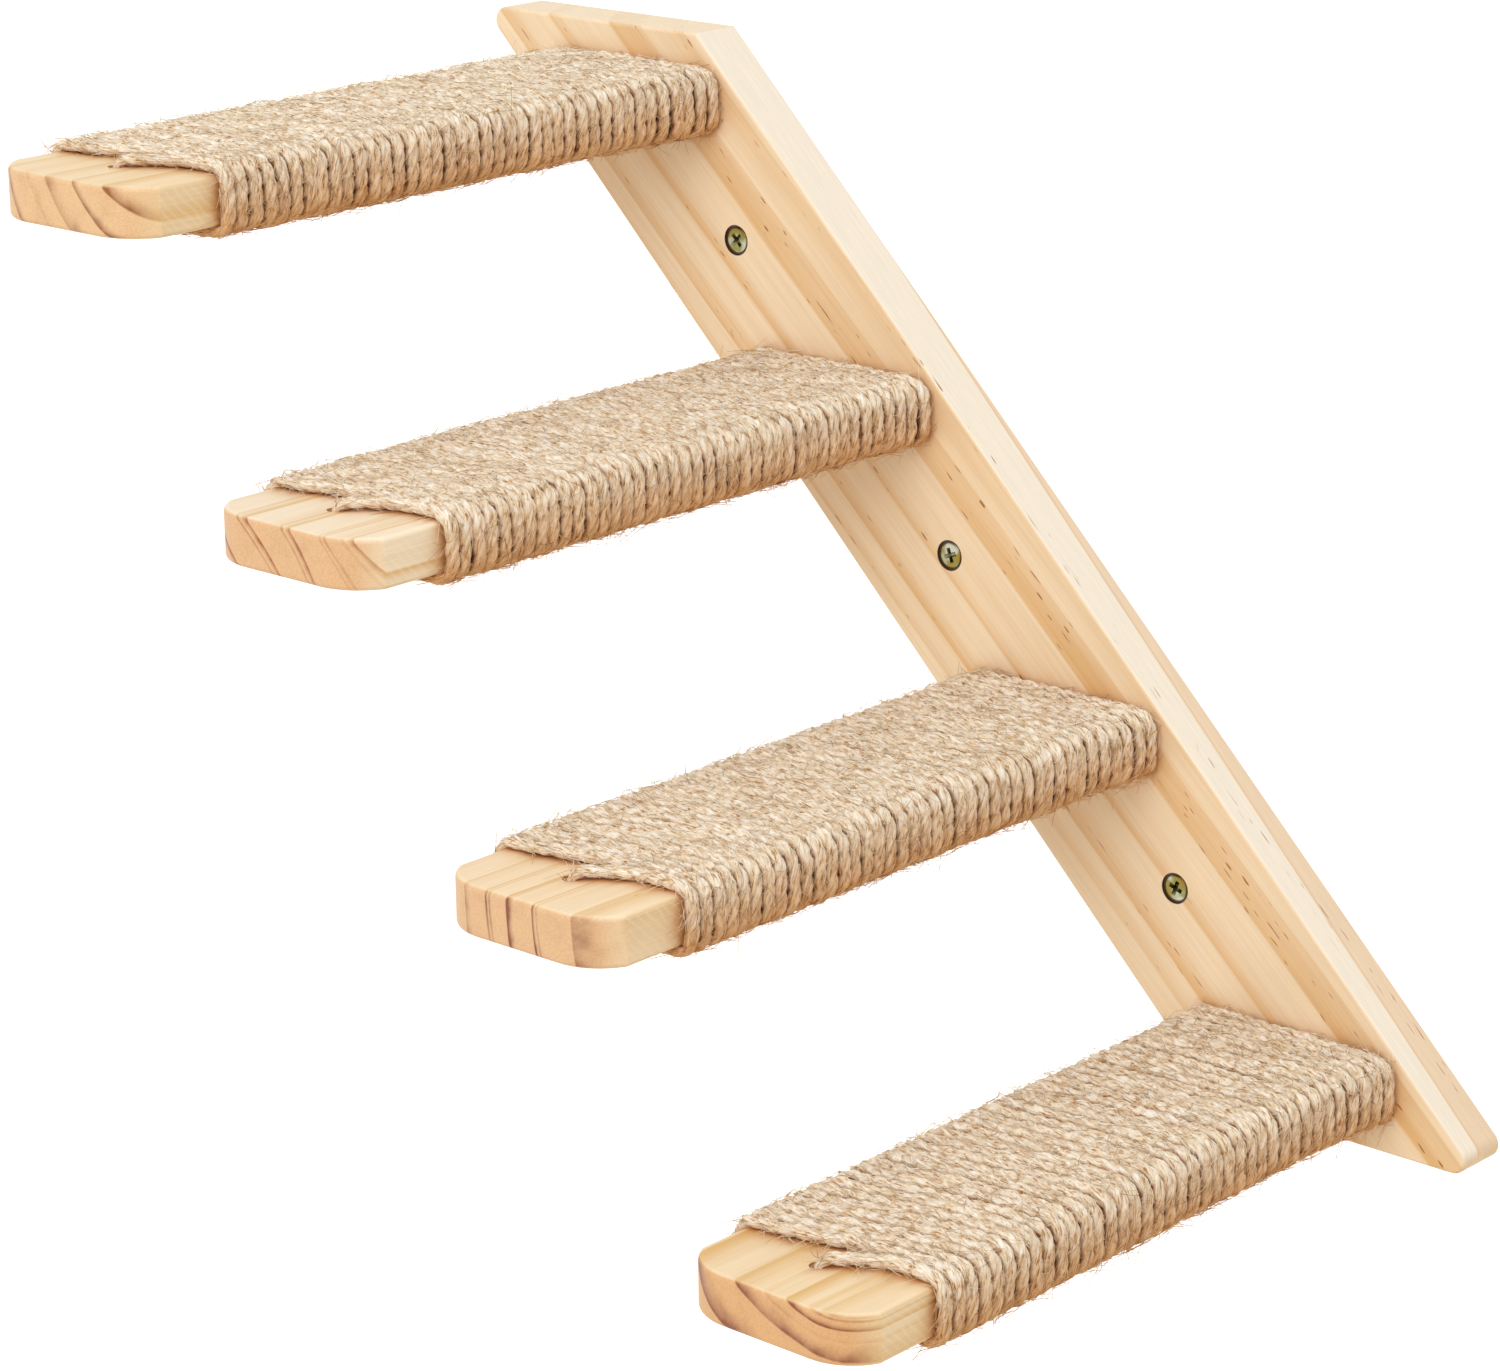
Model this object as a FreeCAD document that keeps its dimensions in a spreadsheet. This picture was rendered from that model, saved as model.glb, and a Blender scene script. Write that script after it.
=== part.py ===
import FreeCAD, Part
import math
import os
import re
import Sketcher

# Wall staircase for cats: a slanted pine board carries four pine steps, each wound with jute rope.
# Frame: the wall is the plane Y = 0, the room lies on its -Y side, +X is to the right and +Z is up.
# The origin is on the wall, on the axis of the middle wall screw, half way between steps 2 and 3.

Vector = FreeCAD.Vector
STEPS = (1, 2, 3, 4)
WALL_FIXINGS = ("upper", "middle", "lower")
ROPE_POINTS = 3600

# Driving dimensions in millimetres, degrees, counts and shares
SIZES = [
    ("slope_angle", 45, "lean of the board from upright, degrees"),
    ("board_width", 90, "board, square across its long edges"),
    ("board_thick", 24, "board thickness"),
    ("board_end_margin", 27.5, "height of the board past the middle of its first and last step"),
    ("board_corner_round", 6, "radius of the two sharp board corners"),
    ("board_edge_ease", 1.5, "rounding of the board's front edges"),
    ("first_pitch", 163, "from step 1 to step 2, along the board"),
    ("step_pitch", 167, "between the lower steps, along the board"),
    ("plank_width", 85, "step plank width"),
    ("plank_thick", 20, "step plank thickness"),
    ("plank_reach", 315, "step plank length, from the board to its free end"),
    ("plank_corner_run", 22, "free end taken by the arc that rounds each free corner"),
    ("plank_corner_rise", 14, "long edge taken by that arc, which meets it at a blunt edge"),
    ("plank_edge_ease", 2, "rounding of the long plank edges"),
    ("rope_turns", 24, "turns of rope on a step"),
    ("rope_thick", 4.7, "thickness of the flattened rope"),
    ("rope_turn_gap", 1.2, "gap between neighbouring turns"),
    ("rope_seat_gap", 0.3, "gap between the rope and the wood"),
    ("rope_bare_end", 38, "bare plank between its free end and the winding"),
    ("rope_board_gap", 1, "gap between the last turn and the board"),
    ("rope_tail_dia", 6, "rope diameter in the holes that hold its two ends"),
    ("rope_tail_depth", 12, "depth of those holes"),
    ("rope_hole_inset", 29, "from the free end to the hole where the rope starts"),
    ("rope_finish_run", 12, "rope under the plank, from its edge to the end of the rope"),
    ("step_screw_length", 70, "screw that holds a step from behind"),
    ("step_screw_dia", 5, "its shank"),
    ("step_screw_core", 3.6, "its core in the end grain"),
    ("step_screw_head", 10, "its countersunk head"),
    ("step_screw_rim", 0.5, "the straight rim of that head"),
    ("step_screw_sink", 0.5, "depth of that head below the back of the board"),
    ("step_screw_point", 5, "length of its point"),
    ("step_screw_inset", 17.5, "from the long edges of a plank to its two screws"),
    ("pilot_spare", 3, "pilot hole past the screw point"),
    ("wall_screw_length", 60, "screw that holds the board to the wall"),
    ("wall_screw_dia", 6, "its shank"),
    ("wall_screw_core", 4.2, "its core in the wall plug"),
    ("wall_screw_head", 11, "its countersunk head"),
    ("wall_screw_rim", 0.6, "the straight rim of that head"),
    ("wall_screw_sink", 0.4, "depth of that head below the front of the board"),
    ("wall_screw_point", 6, "length of its point"),
    ("wall_seat_dia", 12.8, "counterbore round that head"),
    ("plug_dia", 8, "wall plug"),
    ("plug_length", 40, "wall plug length"),
    ("plug_nose", 3, "tapered nose of the plug"),
    ("plug_slit", 1.2, "width of the two slits that let the plug spread"),
    ("screw_head_angle", 90, "cone of the countersunk heads, degrees"),
    ("fit_clear", 0.1, "clearance of heads, cores and the plug bore, on a radius"),
    ("shank_clear", 0.3, "clearance in the board of a step screw, or of a plug pushed through, on a radius"),
    ("cut_overrun", 5, "how far a cut runs past the piece"),
    ("recess_reach_share", 0.29, "half length of a cross recess arm, of the head"),
    ("recess_width_share", 0.08, "half width of that arm, of the head"),
    ("recess_depth_share", 0.22, "depth of the recess, of the head"),
    ("plug_nose_share", 0.7, "width of the plug's nose, of the plug"),
    ("plug_slit_share", 0.5, "length of the slits, of the plug"),
]

# Places and sizes that follow from them
DERIVED = [
    ("slope_sine", "=sin(slope_angle * 1 deg)"),
    ("slope_cosine", "=cos(slope_angle * 1 deg)"),
    ("slope_run", "=slope_sine / slope_cosine"),
    ("board_level_half", "=board_width / slope_cosine / 2"),
    ("step_1_along", "=-first_pitch - step_pitch / 2"),
    ("step_2_along", "=-step_pitch / 2"),
    ("step_3_along", "=step_pitch / 2"),
    ("step_4_along", "=step_3_along + step_pitch"),
    ("wall_upper_along", "=(step_1_along + step_2_along) / 2"),
    ("wall_middle_along", "=(step_2_along + step_3_along) / 2"),
    ("wall_lower_along", "=(step_3_along + step_4_along) / 2"),
    ("board_top", "=-step_1_along * slope_cosine + board_end_margin"),
    ("board_drop", "=step_4_along * slope_cosine + board_end_margin"),
    ("rope_pitch", "=(plank_reach - rope_bare_end - rope_board_gap + rope_turn_gap) / rope_turns"),
    ("rope_lay", "=rope_pitch - rope_turn_gap"),
    ("rope_last_inset", "=rope_board_gap + rope_lay / 2"),
    ("rope_stub", "=rope_tail_dia / 2 + rope_seat_gap"),
    ("rope_finish_across", "=plank_width / 2 - plank_edge_ease - rope_finish_run + rope_stub"),
    ("step_screw_spread", "=plank_width - 2 * step_screw_inset"),
    ("step_screw_bore", "=step_screw_dia + 2 * shank_clear"),
    ("step_screw_shank", "=board_thick - step_screw_sink - fit_clear"),
    ("wall_screw_bore", "=plug_dia + 2 * shank_clear"),
    ("wall_screw_shank", "=board_thick - wall_screw_sink - fit_clear"),
    ("pilot_depth", "=step_screw_length - board_thick + step_screw_sink + pilot_spare"),
]

os.makedirs("parts", exist_ok=True)
doc = FreeCAD.newDocument("cat_staircase")
sheet = doc.addObject("Spreadsheet::Sheet", "sizes")
for row, (alias, content, *meaning) in enumerate(SIZES + DERIVED, start=1):
    sheet.set(f"A{row}", meaning[0] if meaning else "derived")
    sheet.set(f"B{row}", str(content))
    sheet.setAlias(f"B{row}", alias)
doc.recompute()
ALIASES = {row[0] for row in SIZES + DERIVED}


def bound(formula):
    """The formula with each alias written as a cell of the sheet."""
    return re.sub(r"[a-z]\w*", lambda word: f"sizes.{word[0]}" if word[0] in ALIASES else word[0], formula)


def value(formula):
    """The formula's value now."""
    return float(sheet.evalExpression(formula))


def bind(thing, **formulas):
    """Ties properties of a document object to formulas; a double underscore stands for a dot."""
    for name, formula in formulas.items():
        thing.setExpression(name.replace("__", "."), bound(formula))


def new_body(name):
    body = doc.addObject("PartDesign::Body", name)
    body.Label = name
    return body


def new_sketch(body, name, plane, offset="0"):
    """A sketch on an origin plane of its body, moved along the plane's normal."""
    sketch = body.newObject("Sketcher::SketchObject", name)
    support = next(item for item in body.Origin.OriginFeatures if item.Role == plane)
    sketch.AttachmentSupport = [(support, "")]
    sketch.MapMode = "FlatFace"
    bind(sketch, AttachmentOffset__Base__z=offset)
    return sketch


def hold_point(sketch, geometry, point, across, up):
    """Holds a point of the sketch at the place that two formulas give."""
    for kind, axis, formula in (("DistanceX", -2, across), ("DistanceY", -1, up)):
        size = value(formula)
        if size == 0:
            sketch.addConstraint(Sketcher.Constraint("PointOnObject", geometry, point, axis))
            continue
        ends = (-1, 1, geometry, point) if size > 0 else (geometry, point, -1, 1)
        index = sketch.addConstraint(Sketcher.Constraint(kind, *ends, abs(size)))
        sketch.setExpression(f"Constraints[{index}]", bound(formula if size > 0 else f"-({formula})"))


def draw_polygon(sketch, corners):
    """A closed outline of straight lines through corners given as pairs of formulas."""
    places = [Vector(value(across), value(up), 0) for across, up in corners]
    lines = [sketch.addGeometry(Part.LineSegment(a, b)) for a, b in zip(places, places[1:] + places[:1])]
    for line, following in zip(lines, lines[1:] + lines[:1]):
        sketch.addConstraint(Sketcher.Constraint("Coincident", line, 2, following, 1))
    for line, (across, up) in zip(lines, corners):
        hold_point(sketch, line, 1, across, up)


def draw_circle(sketch, across, up, diameter):
    circle = Part.Circle(Vector(value(across), value(up), 0), Vector(0, 0, 1), value(diameter) / 2)
    geometry = sketch.addGeometry(circle)
    hold_point(sketch, geometry, 3, across, up)
    index = sketch.addConstraint(Sketcher.Constraint("Diameter", geometry, value(diameter)))
    sketch.setExpression(f"Constraints[{index}]", bound(diameter))


def add_feature(body, kind, name, sketch, **formulas):
    made = body.newObject(f"PartDesign::{kind}", name)
    made.Profile = sketch
    bind(made, **formulas)
    return made


def add_cut(body, name, sketch, depth, along_normal=False):
    """A pocket, which has to take something away."""
    before = body.Shape.Volume
    pocket = add_feature(body, "Pocket", name, sketch, Length=depth)
    pocket.Reversed = along_normal
    doc.recompute()
    if body.Shape.Volume >= before:
        raise RuntimeError(f"{name} cuts nothing")
    return pocket


def add_countersunk_holes(body, name, sketch, screw, along_normal=False):
    """Holes with cones for the heads of a screw, through the whole board."""
    hole = add_feature(body, "Hole", name, sketch)
    doc.recompute()
    hole.Reversed = along_normal
    hole.DepthType = "ThroughAll"
    hole.HoleCutType = "Countersink"
    hole.HoleCutCustomValues = True
    bind(hole, Diameter=f"{screw}_bore", HoleCutDiameter=f"{screw}_head + 2 * fit_clear",
         HoleCutCountersinkAngle="screw_head_angle")
    doc.recompute()
    return hole


def add_rounding(body, name, radius, wanted):
    """A fillet on the edges of the body that a test picks."""
    doc.recompute()
    base = body.Tip
    names = [f"Edge{number}" for number, edge in enumerate(base.Shape.Edges, start=1) if wanted(edge)]
    rounding = body.newObject("PartDesign::Fillet", name)
    rounding.Base = (base, names)
    bind(rounding, Radius=radius)
    doc.recompute()
    return rounding


def at_level(edge, axis, level):
    """Whether both the ends and the middle of an edge lie on one plane square to an axis."""
    box = edge.BoundBox
    low, high = getattr(box, f"{axis}Min"), getattr(box, f"{axis}Max")
    return max(abs(low - level), abs(high - level)) < value("fit_clear")


def on_slope(along):
    """Formulas for the X and Z of a place on the board's middle line."""
    return f"{along} * slope_sine", f"-({along}) * slope_cosine"


def make_backboard():
    board = new_body("backboard")
    outline = new_sketch(board, "board_outline", "XZ_Plane")
    draw_polygon(outline, [
        ("-board_top * slope_run - board_level_half", "board_top"),
        ("board_level_half - board_top * slope_run", "board_top"),
        ("board_drop * slope_run + board_level_half", "-board_drop"),
        ("board_drop * slope_run - board_level_half", "-board_drop"),
    ])
    add_feature(board, "Pad", "board_stock", outline, Length="board_thick")

    sharp_reach = value("board_level_half")
    top_left = -value("board_top * slope_run") - sharp_reach
    bottom_right = value("board_drop * slope_run") + sharp_reach
    add_rounding(board, "sharp_corners", "board_corner_round",
                 lambda edge: at_level(edge, "X", top_left) or at_level(edge, "X", bottom_right))
    add_rounding(board, "front_edges", "board_edge_ease",
                 lambda edge: at_level(edge, "Y", -value("board_thick")))

    seats = new_sketch(board, "wall_screw_seats", "XZ_Plane", "board_thick")
    for fixing in WALL_FIXINGS:
        draw_circle(seats, *on_slope(f"wall_{fixing}_along"), "wall_seat_dia")
    add_cut(board, "wall_screw_counterbores", seats, "wall_screw_sink + wall_screw_rim")
    seat_level = "board_thick - wall_screw_sink - wall_screw_rim"
    centres = new_sketch(board, "wall_screw_centres", "XZ_Plane", seat_level)
    for fixing in WALL_FIXINGS:
        draw_circle(centres, *on_slope(f"wall_{fixing}_along"), "wall_screw_bore")
    add_countersunk_holes(board, "wall_screw_holes", centres, "wall_screw")

    rims = new_sketch(board, "step_screw_rims", "XZ_Plane")
    for across, up in step_screw_places():
        draw_circle(rims, across, up, "step_screw_head + 2 * fit_clear")
    add_cut(board, "step_screw_counterbores", rims, "step_screw_sink + step_screw_rim", along_normal=True)
    entries = new_sketch(board, "step_screw_entries", "XZ_Plane", "step_screw_sink + step_screw_rim")
    for across, up in step_screw_places():
        draw_circle(entries, across, up, "step_screw_bore")
    add_countersunk_holes(board, "step_screw_holes", entries, "step_screw", along_normal=True)
    return board


def step_screw_places(steps=STEPS):
    """Formulas for the places of the screws that hold the steps, two to a step."""
    for number in steps:
        across, up = on_slope(f"step_{number}_along")
        for side in ("-", "+"):
            yield f"{across} {side} step_screw_spread / 2", up


def place_on_step(thing, number):
    """A step's own frame: its board end is at Y = 0, its middle at X = 0 and Z = 0."""
    across, up = on_slope(f"step_{number}_along")
    bind(thing, Placement__Base__x=across, Placement__Base__y="-board_thick", Placement__Base__z=up)


def draw_plank_outline(sketch):
    """A plank in plan. Arcs that leave its free end smoothly round its two free corners."""
    half, flat = "plank_width / 2", "(plank_width / 2 - plank_corner_run)"
    end, foot = "-plank_reach", "plank_corner_rise - plank_reach"
    corners = [(f"-{half}", "0"), (f"-{half}", foot), (f"-{flat}", end), (flat, end), (half, foot), (half, "0")]
    places = [Vector(value(across), value(up), 0) for across, up in corners]
    run, rise = value("plank_corner_run"), value("plank_corner_rise")
    radius = (run ** 2 + rise ** 2) / (2 * rise)
    sweep = 2 * math.atan(rise / run)
    down = -math.pi / 2
    left_arc = Part.Circle(places[2] + Vector(0, radius, 0), Vector(0, 0, 1), radius)
    right_arc = Part.Circle(places[3] + Vector(0, radius, 0), Vector(0, 0, 1), radius)
    shapes = [
        Part.LineSegment(places[0], places[1]), Part.ArcOfCircle(left_arc, down - sweep, down),
        Part.LineSegment(places[2], places[3]), Part.ArcOfCircle(right_arc, down, down + sweep),
        Part.LineSegment(places[4], places[5]), Part.LineSegment(places[5], places[0]),
    ]
    outline = [sketch.addGeometry(shape) for shape in shapes]
    left_side, left_corner, free_end, right_corner, right_side, board_end = outline
    for kind, piece, following in (
        ("Coincident", left_side, left_corner), ("Tangent", left_corner, free_end),
        ("Tangent", free_end, right_corner), ("Coincident", right_corner, right_side),
        ("Coincident", right_side, board_end), ("Coincident", board_end, left_side),
    ):
        sketch.addConstraint(Sketcher.Constraint(kind, piece, 2, following, 1))
    for piece, (across, up) in zip(outline, corners):
        hold_point(sketch, piece, 1, across, up)


def make_step_plank(number):
    plank = new_body(f"step_plank_{number}")
    outline = new_sketch(plank, f"plank_outline_{number}", "XY_Plane", "-plank_thick / 2")
    draw_plank_outline(outline)
    add_feature(plank, "Pad", f"plank_stock_{number}", outline, Length="plank_thick")

    half = value("plank_thick / 2")
    add_rounding(plank, f"plank_edges_{number}", "plank_edge_ease",
                 lambda edge: (at_level(edge, "Z", half) or at_level(edge, "Z", -half))
                 and not at_level(edge, "Y", 0))

    start = new_sketch(plank, f"rope_start_{number}", "XY_Plane", "plank_thick / 2")
    draw_circle(start, "0", "rope_hole_inset - plank_reach", "2 * rope_stub")
    add_cut(plank, f"rope_start_hole_{number}", start, "rope_tail_depth")
    finish = new_sketch(plank, f"rope_finish_{number}", "XY_Plane", "-plank_thick / 2")
    draw_circle(finish, "rope_finish_across", "-rope_last_inset", "2 * rope_stub")
    add_cut(plank, f"rope_finish_hole_{number}", finish, "rope_tail_depth", along_normal=True)

    pilots = new_sketch(plank, f"pilot_centres_{number}", "XZ_Plane")
    for side in ("-", ""):
        draw_circle(pilots, f"{side}step_screw_spread / 2", "0", "step_screw_core + 2 * fit_clear")
    add_cut(plank, f"pilot_holes_{number}", pilots, "pilot_depth", along_normal=True)
    place_on_step(plank, number)
    return plank


def biarc(start, end):
    """Two equal arcs that shift a level run along X sideways along Y."""
    run, shift = end.x - start.x, end.y - start.y
    radius = (run ** 2 + shift ** 2) / (4 * abs(shift))
    half_turn = math.atan(abs(shift / run))
    bulge = Vector(math.copysign(radius * math.sin(half_turn), run),
                   math.copysign(radius * (1 - math.cos(half_turn)), shift), 0)
    middle = (start + end) / 2
    return [Part.Arc(start, start + bulge, middle), Part.Arc(middle, end - bulge, end)]


def rope_route():
    """The rope's middle line in a step's frame, as one list of lines and arcs for each turn.

    It leaves the start hole towards +X, goes down the right side, under the plank and up the left side.
    Each turn moves on by one pitch under the plank.
    """
    lift = value("rope_seat_gap + rope_thick / 2")
    bend = value("plank_edge_ease") + lift
    side, top = value("plank_width / 2") + lift, value("plank_thick / 2") + lift
    flat, upright = side - bend, top - bend
    slant = math.sqrt(0.5)
    stub = value("rope_stub")
    pitch = value("rope_pitch")
    along = value("rope_bare_end + rope_lay / 2 - plank_reach")
    start = Vector(-stub, value("rope_hole_inset - plank_reach"), top)

    def corner(across, up, y, downwards):
        """A quarter turn round one plank edge."""
        high = Vector(across * flat, y, up * top)
        wide = Vector(across * side, y, up * upright)
        middle = Vector(across * (flat + bend * slant), y, up * (upright + bend * slant))
        return Part.Arc(high, middle, wide) if downwards else Part.Arc(wide, middle, high)

    first = Vector(stub, start.y, top)
    turn = [Part.LineSegment(start, first)] + biarc(first, Vector(flat, along, top))
    turns = []
    count = int(value("rope_turns"))
    for number in range(count):
        y = along + number * pitch
        turn += [corner(1, 1, y, True),
                 Part.LineSegment(Vector(side, y, upright), Vector(side, y, -upright)),
                 corner(1, -1, y, False)]
        under = Vector(flat, y, -top)
        turns.append(turn)
        if number == count - 1:
            turn.append(Part.LineSegment(under, under - Vector(value("rope_finish_run"), 0, 0)))
            break
        beyond = y + pitch
        turn += biarc(under, Vector(-flat, beyond, -top))
        turn += [corner(-1, -1, beyond, True),
                 Part.LineSegment(Vector(-side, beyond, -upright), Vector(-side, beyond, upright)),
                 corner(-1, 1, beyond, False)]
        turn = [Part.LineSegment(Vector(-flat, beyond, top), Vector(flat, beyond, top))]
    return turns


def least_rope_gap(path):
    """The least clear distance between neighbouring turns, measured on points along the rope."""
    points = path.discretize(Number=ROPE_POINTS)
    turn = ROPE_POINTS / value("rope_turns")
    near, far = round(turn / 2), round(3 * turn / 2)
    nearest = min(point.distanceToPoint(other) for index, point in enumerate(points)
                  for other in points[index + near:index + far])
    return nearest - value("rope_lay")


def rope_solid():
    """One unbroken flattened rope with its two ends turned into their holes."""
    turns = rope_route()
    path = Part.Wire([piece.toShape() for turn in turns for piece in turn])
    start = turns[0][0].StartPoint
    finish = turns[-1][-1].EndPoint
    section = Part.Ellipse(start + Vector(0, value("rope_lay / 2"), 0),
                           start + Vector(0, 0, value("rope_thick / 2")), start)
    shell = Part.BRepOffsetAPI.MakePipeShell(path)
    shell.add(Part.Wire(section.toShape()))
    shell.build()
    shell.makeSolid()
    rope = shell.shape()
    expected = math.pi * value("rope_lay * rope_thick / 4") * path.Length
    print(f"rope: {path.Length:.0f} mm long, volume {rope.Volume / expected:.4f} of section times length,",
          f"least gap to itself {least_rope_gap(path):.2f} mm")
    sunk = Vector(value("rope_stub"), 0, -value("rope_thick / 4"))
    raised = Vector(sunk.x, 0, -sunk.z)
    length, radius = value("rope_tail_depth + rope_thick / 4"), value("rope_tail_dia / 2")
    for place, way in ((start + sunk, Vector(0, 0, -1)), (finish + raised, Vector(0, 0, 1))):
        rope = rope.fuse(Part.makeCylinder(radius, length, place, way))
    return rope


def make_rope_wrap(number, shape):
    rope = doc.addObject("Part::Feature", f"rope_wrap_{number}")
    rope.Shape = shape
    place_on_step(rope, number)
    return rope


def make_screw(name, screw):
    """A countersunk screw along Z with the top of its head at Z = 0."""
    body = new_body(name)
    profile = new_sketch(body, f"{name}_profile", "XZ_Plane")
    cone_foot = f"-{screw}_rim - ({screw}_head - {screw}_dia) / 2 / tan(screw_head_angle / 2 * 1 deg)"
    draw_polygon(profile, [
        ("0", "0"), (f"{screw}_head / 2", "0"), (f"{screw}_head / 2", f"-{screw}_rim"),
        (f"{screw}_dia / 2", cone_foot), (f"{screw}_dia / 2", f"-{screw}_shank"),
        (f"{screw}_core / 2", f"-{screw}_shank"), (f"{screw}_core / 2", f"{screw}_point - {screw}_length"),
        ("0", f"-{screw}_length"),
    ])
    turned = add_feature(body, "Revolution", f"{name}_turned", profile)
    turned.ReferenceAxis = (profile, ["V_Axis"])
    doc.recompute()
    recess = new_sketch(body, f"{name}_cross", "XY_Plane")
    reach, half = f"{screw}_head * recess_reach_share", f"{screw}_head * recess_width_share"
    draw_polygon(recess, [
        (half, half), (half, reach), (f"-{half}", reach), (f"-{half}", half),
        (f"-{reach}", half), (f"-{reach}", f"-{half}"), (f"-{half}", f"-{half}"), (f"-{half}", f"-{reach}"),
        (half, f"-{reach}"), (half, f"-{half}"), (reach, f"-{half}"), (reach, half),
    ])
    add_cut(body, f"{name}_recess", recess, f"{screw}_head * recess_depth_share")
    return body


def make_plug(name):
    """A wall plug along Z with its mouth at Z = 0 and two crossed slits from its nose."""
    body = new_body(name)
    profile = new_sketch(body, f"{name}_profile", "XZ_Plane")
    bore = "wall_screw_core / 2 + fit_clear"
    draw_polygon(profile, [
        (bore, "0"), ("plug_dia / 2", "0"), ("plug_dia / 2", "plug_nose - plug_length"),
        ("plug_dia / 2 * plug_nose_share", "-plug_length"), (bore, "-plug_length"),
    ])
    turned = add_feature(body, "Revolution", f"{name}_turned", profile)
    turned.ReferenceAxis = (profile, ["V_Axis"])
    doc.recompute()
    for plane in ("XZ_Plane", "YZ_Plane"):
        slit = new_sketch(body, f"{name}_slit_{plane[:2].lower()}", plane, "-plug_dia / 2 - cut_overrun")
        draw_polygon(slit, [
            ("-plug_slit / 2", "-plug_length * (1 - plug_slit_share)"),
            ("plug_slit / 2", "-plug_length * (1 - plug_slit_share)"),
            ("plug_slit / 2", "-plug_length - cut_overrun"),
            ("-plug_slit / 2", "-plug_length - cut_overrun"),
        ])
        width = "plug_dia + 2 * cut_overrun"
        add_cut(body, f"{name}_cut_{plane[:2].lower()}", slit, width, along_normal=True)
    return body


def make_group(name, master, places, depth, tilt):
    """Copies of one fastener as separate solids of one piece, each tilted about X and moved to its place."""
    links = []
    for number, (across, up) in enumerate(places, start=1):
        link = doc.addObject("App::Link", f"{name}_{number}")
        link.LinkedObject = master
        link.LinkTransform = False
        link.Placement = FreeCAD.Placement(Vector(), FreeCAD.Rotation(Vector(1, 0, 0), tilt))
        bind(link, Placement__Base__x=across, Placement__Base__y=depth, Placement__Base__z=up)
        links.append(link)
    group = doc.addObject("Part::Compound", name)
    group.Links = links
    return group


pieces = [make_backboard()]
pieces += [make_step_plank(number) for number in STEPS]
rope_shape = rope_solid()
pieces += [make_rope_wrap(number, rope_shape.copy()) for number in STEPS]

step_screw = make_screw("step_screw", "step_screw")
wall_screw = make_screw("wall_screw", "wall_screw")
wall_plug = make_plug("wall_plug")
FACING_WALL, FACING_ROOM = -90, 90
for number in STEPS:
    pieces.append(make_group(f"step_{number}_screws", step_screw, step_screw_places([number]),
                             "-step_screw_sink", FACING_WALL))
wall_places = [on_slope(f"wall_{fixing}_along") for fixing in WALL_FIXINGS]
head_level = "wall_screw_sink - board_thick"
pieces.append(make_group("wall_screws", wall_screw, wall_places, head_level, FACING_ROOM))
pieces.append(make_group("wall_plugs", wall_plug, wall_places, "0", FACING_ROOM))
doc.recompute()

failed = [item.Name for item in doc.Objects if {"Invalid", "Error"} & set(item.State)]
for piece in pieces:
    shape = piece.Shape
    if shape.isNull() or not shape.isValid() or not shape.Solids:
        failed.append(piece.Label)
if failed:
    raise RuntimeError(f"not built: {failed}")
for piece in pieces:
    piece.Shape.exportStep(f"parts/{piece.Label}.step")
    box = piece.Shape.BoundBox
    print(f"{piece.Label}: {len(piece.Shape.Solids)} solid(s), {piece.Shape.Volume:.0f} mm3,",
          f"X {box.XMin:.1f} {box.XMax:.1f}, Y {box.YMin:.1f} {box.YMax:.1f}, Z {box.ZMin:.1f} {box.ZMax:.1f}")
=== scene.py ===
import functools
import math
import random

import bmesh
import bpy
from mathutils import Matrix, Vector, noise
from mathutils.kdtree import KDTree


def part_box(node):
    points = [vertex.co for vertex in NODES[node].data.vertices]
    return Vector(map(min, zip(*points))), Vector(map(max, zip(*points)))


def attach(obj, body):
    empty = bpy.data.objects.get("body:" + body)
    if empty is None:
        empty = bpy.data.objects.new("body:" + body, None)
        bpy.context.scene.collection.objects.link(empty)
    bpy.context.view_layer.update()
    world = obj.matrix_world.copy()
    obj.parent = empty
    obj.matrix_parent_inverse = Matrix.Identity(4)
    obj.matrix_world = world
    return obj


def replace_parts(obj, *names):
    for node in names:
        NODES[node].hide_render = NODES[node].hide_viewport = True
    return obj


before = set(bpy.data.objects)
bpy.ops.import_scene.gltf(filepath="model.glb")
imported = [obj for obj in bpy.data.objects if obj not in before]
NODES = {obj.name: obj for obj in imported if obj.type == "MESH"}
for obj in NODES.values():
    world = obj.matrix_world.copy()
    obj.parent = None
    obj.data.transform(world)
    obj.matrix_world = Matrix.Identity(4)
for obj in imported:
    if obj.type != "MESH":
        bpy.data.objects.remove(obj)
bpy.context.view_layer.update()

# Climbing staircase for a wall: a slanted pine board with four pine steps, each wound with jute rope.
# Metres in the part's own frame: the wall is the plane Y = 0, the room is on -Y, +X is right and +Z is up.

MM = 0.001
TAU = 2 * math.pi
STEPS = (1, 2, 3, 4)
SEED = 41

# Sockets of a Mix node, whose names repeat: two numbers, two colours and the mixed colour
NUMBER_A, NUMBER_B = 2, 3
COLOUR_A, COLOUR_B = 6, 7
MIXED = 2

# Meshes: points closer than this in millimetres are one, and edges sharper than this in degrees stay sharp
MERGE_REACH = 0.001
CREASE = 35

# The photograph's frame and the camera that was fitted to it
PHOTO_WIDTH = 1500
FOCAL_PIXELS = 4603.75
SENSOR_WIDTH = 36
CAMERA_PLACE = (1.1661, -1.4306, 0.5145)
CAMERA_AZIMUTH = 42.256
CAMERA_ELEVATION = 17.329
CAMERA_ROLL = -0.698
CAMERA_CLIP = (0.05, 60)

# Rope sizes in millimetres, and the turns on each step
ROPE_TURNS = {1: 40, 2: 41, 3: 40, 4: 38}
ROPE_WIDE = 6.9
ROPE_HIGH = 5.2
ROPE_LAY = 20
RING_SPACING = 1.9

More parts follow.
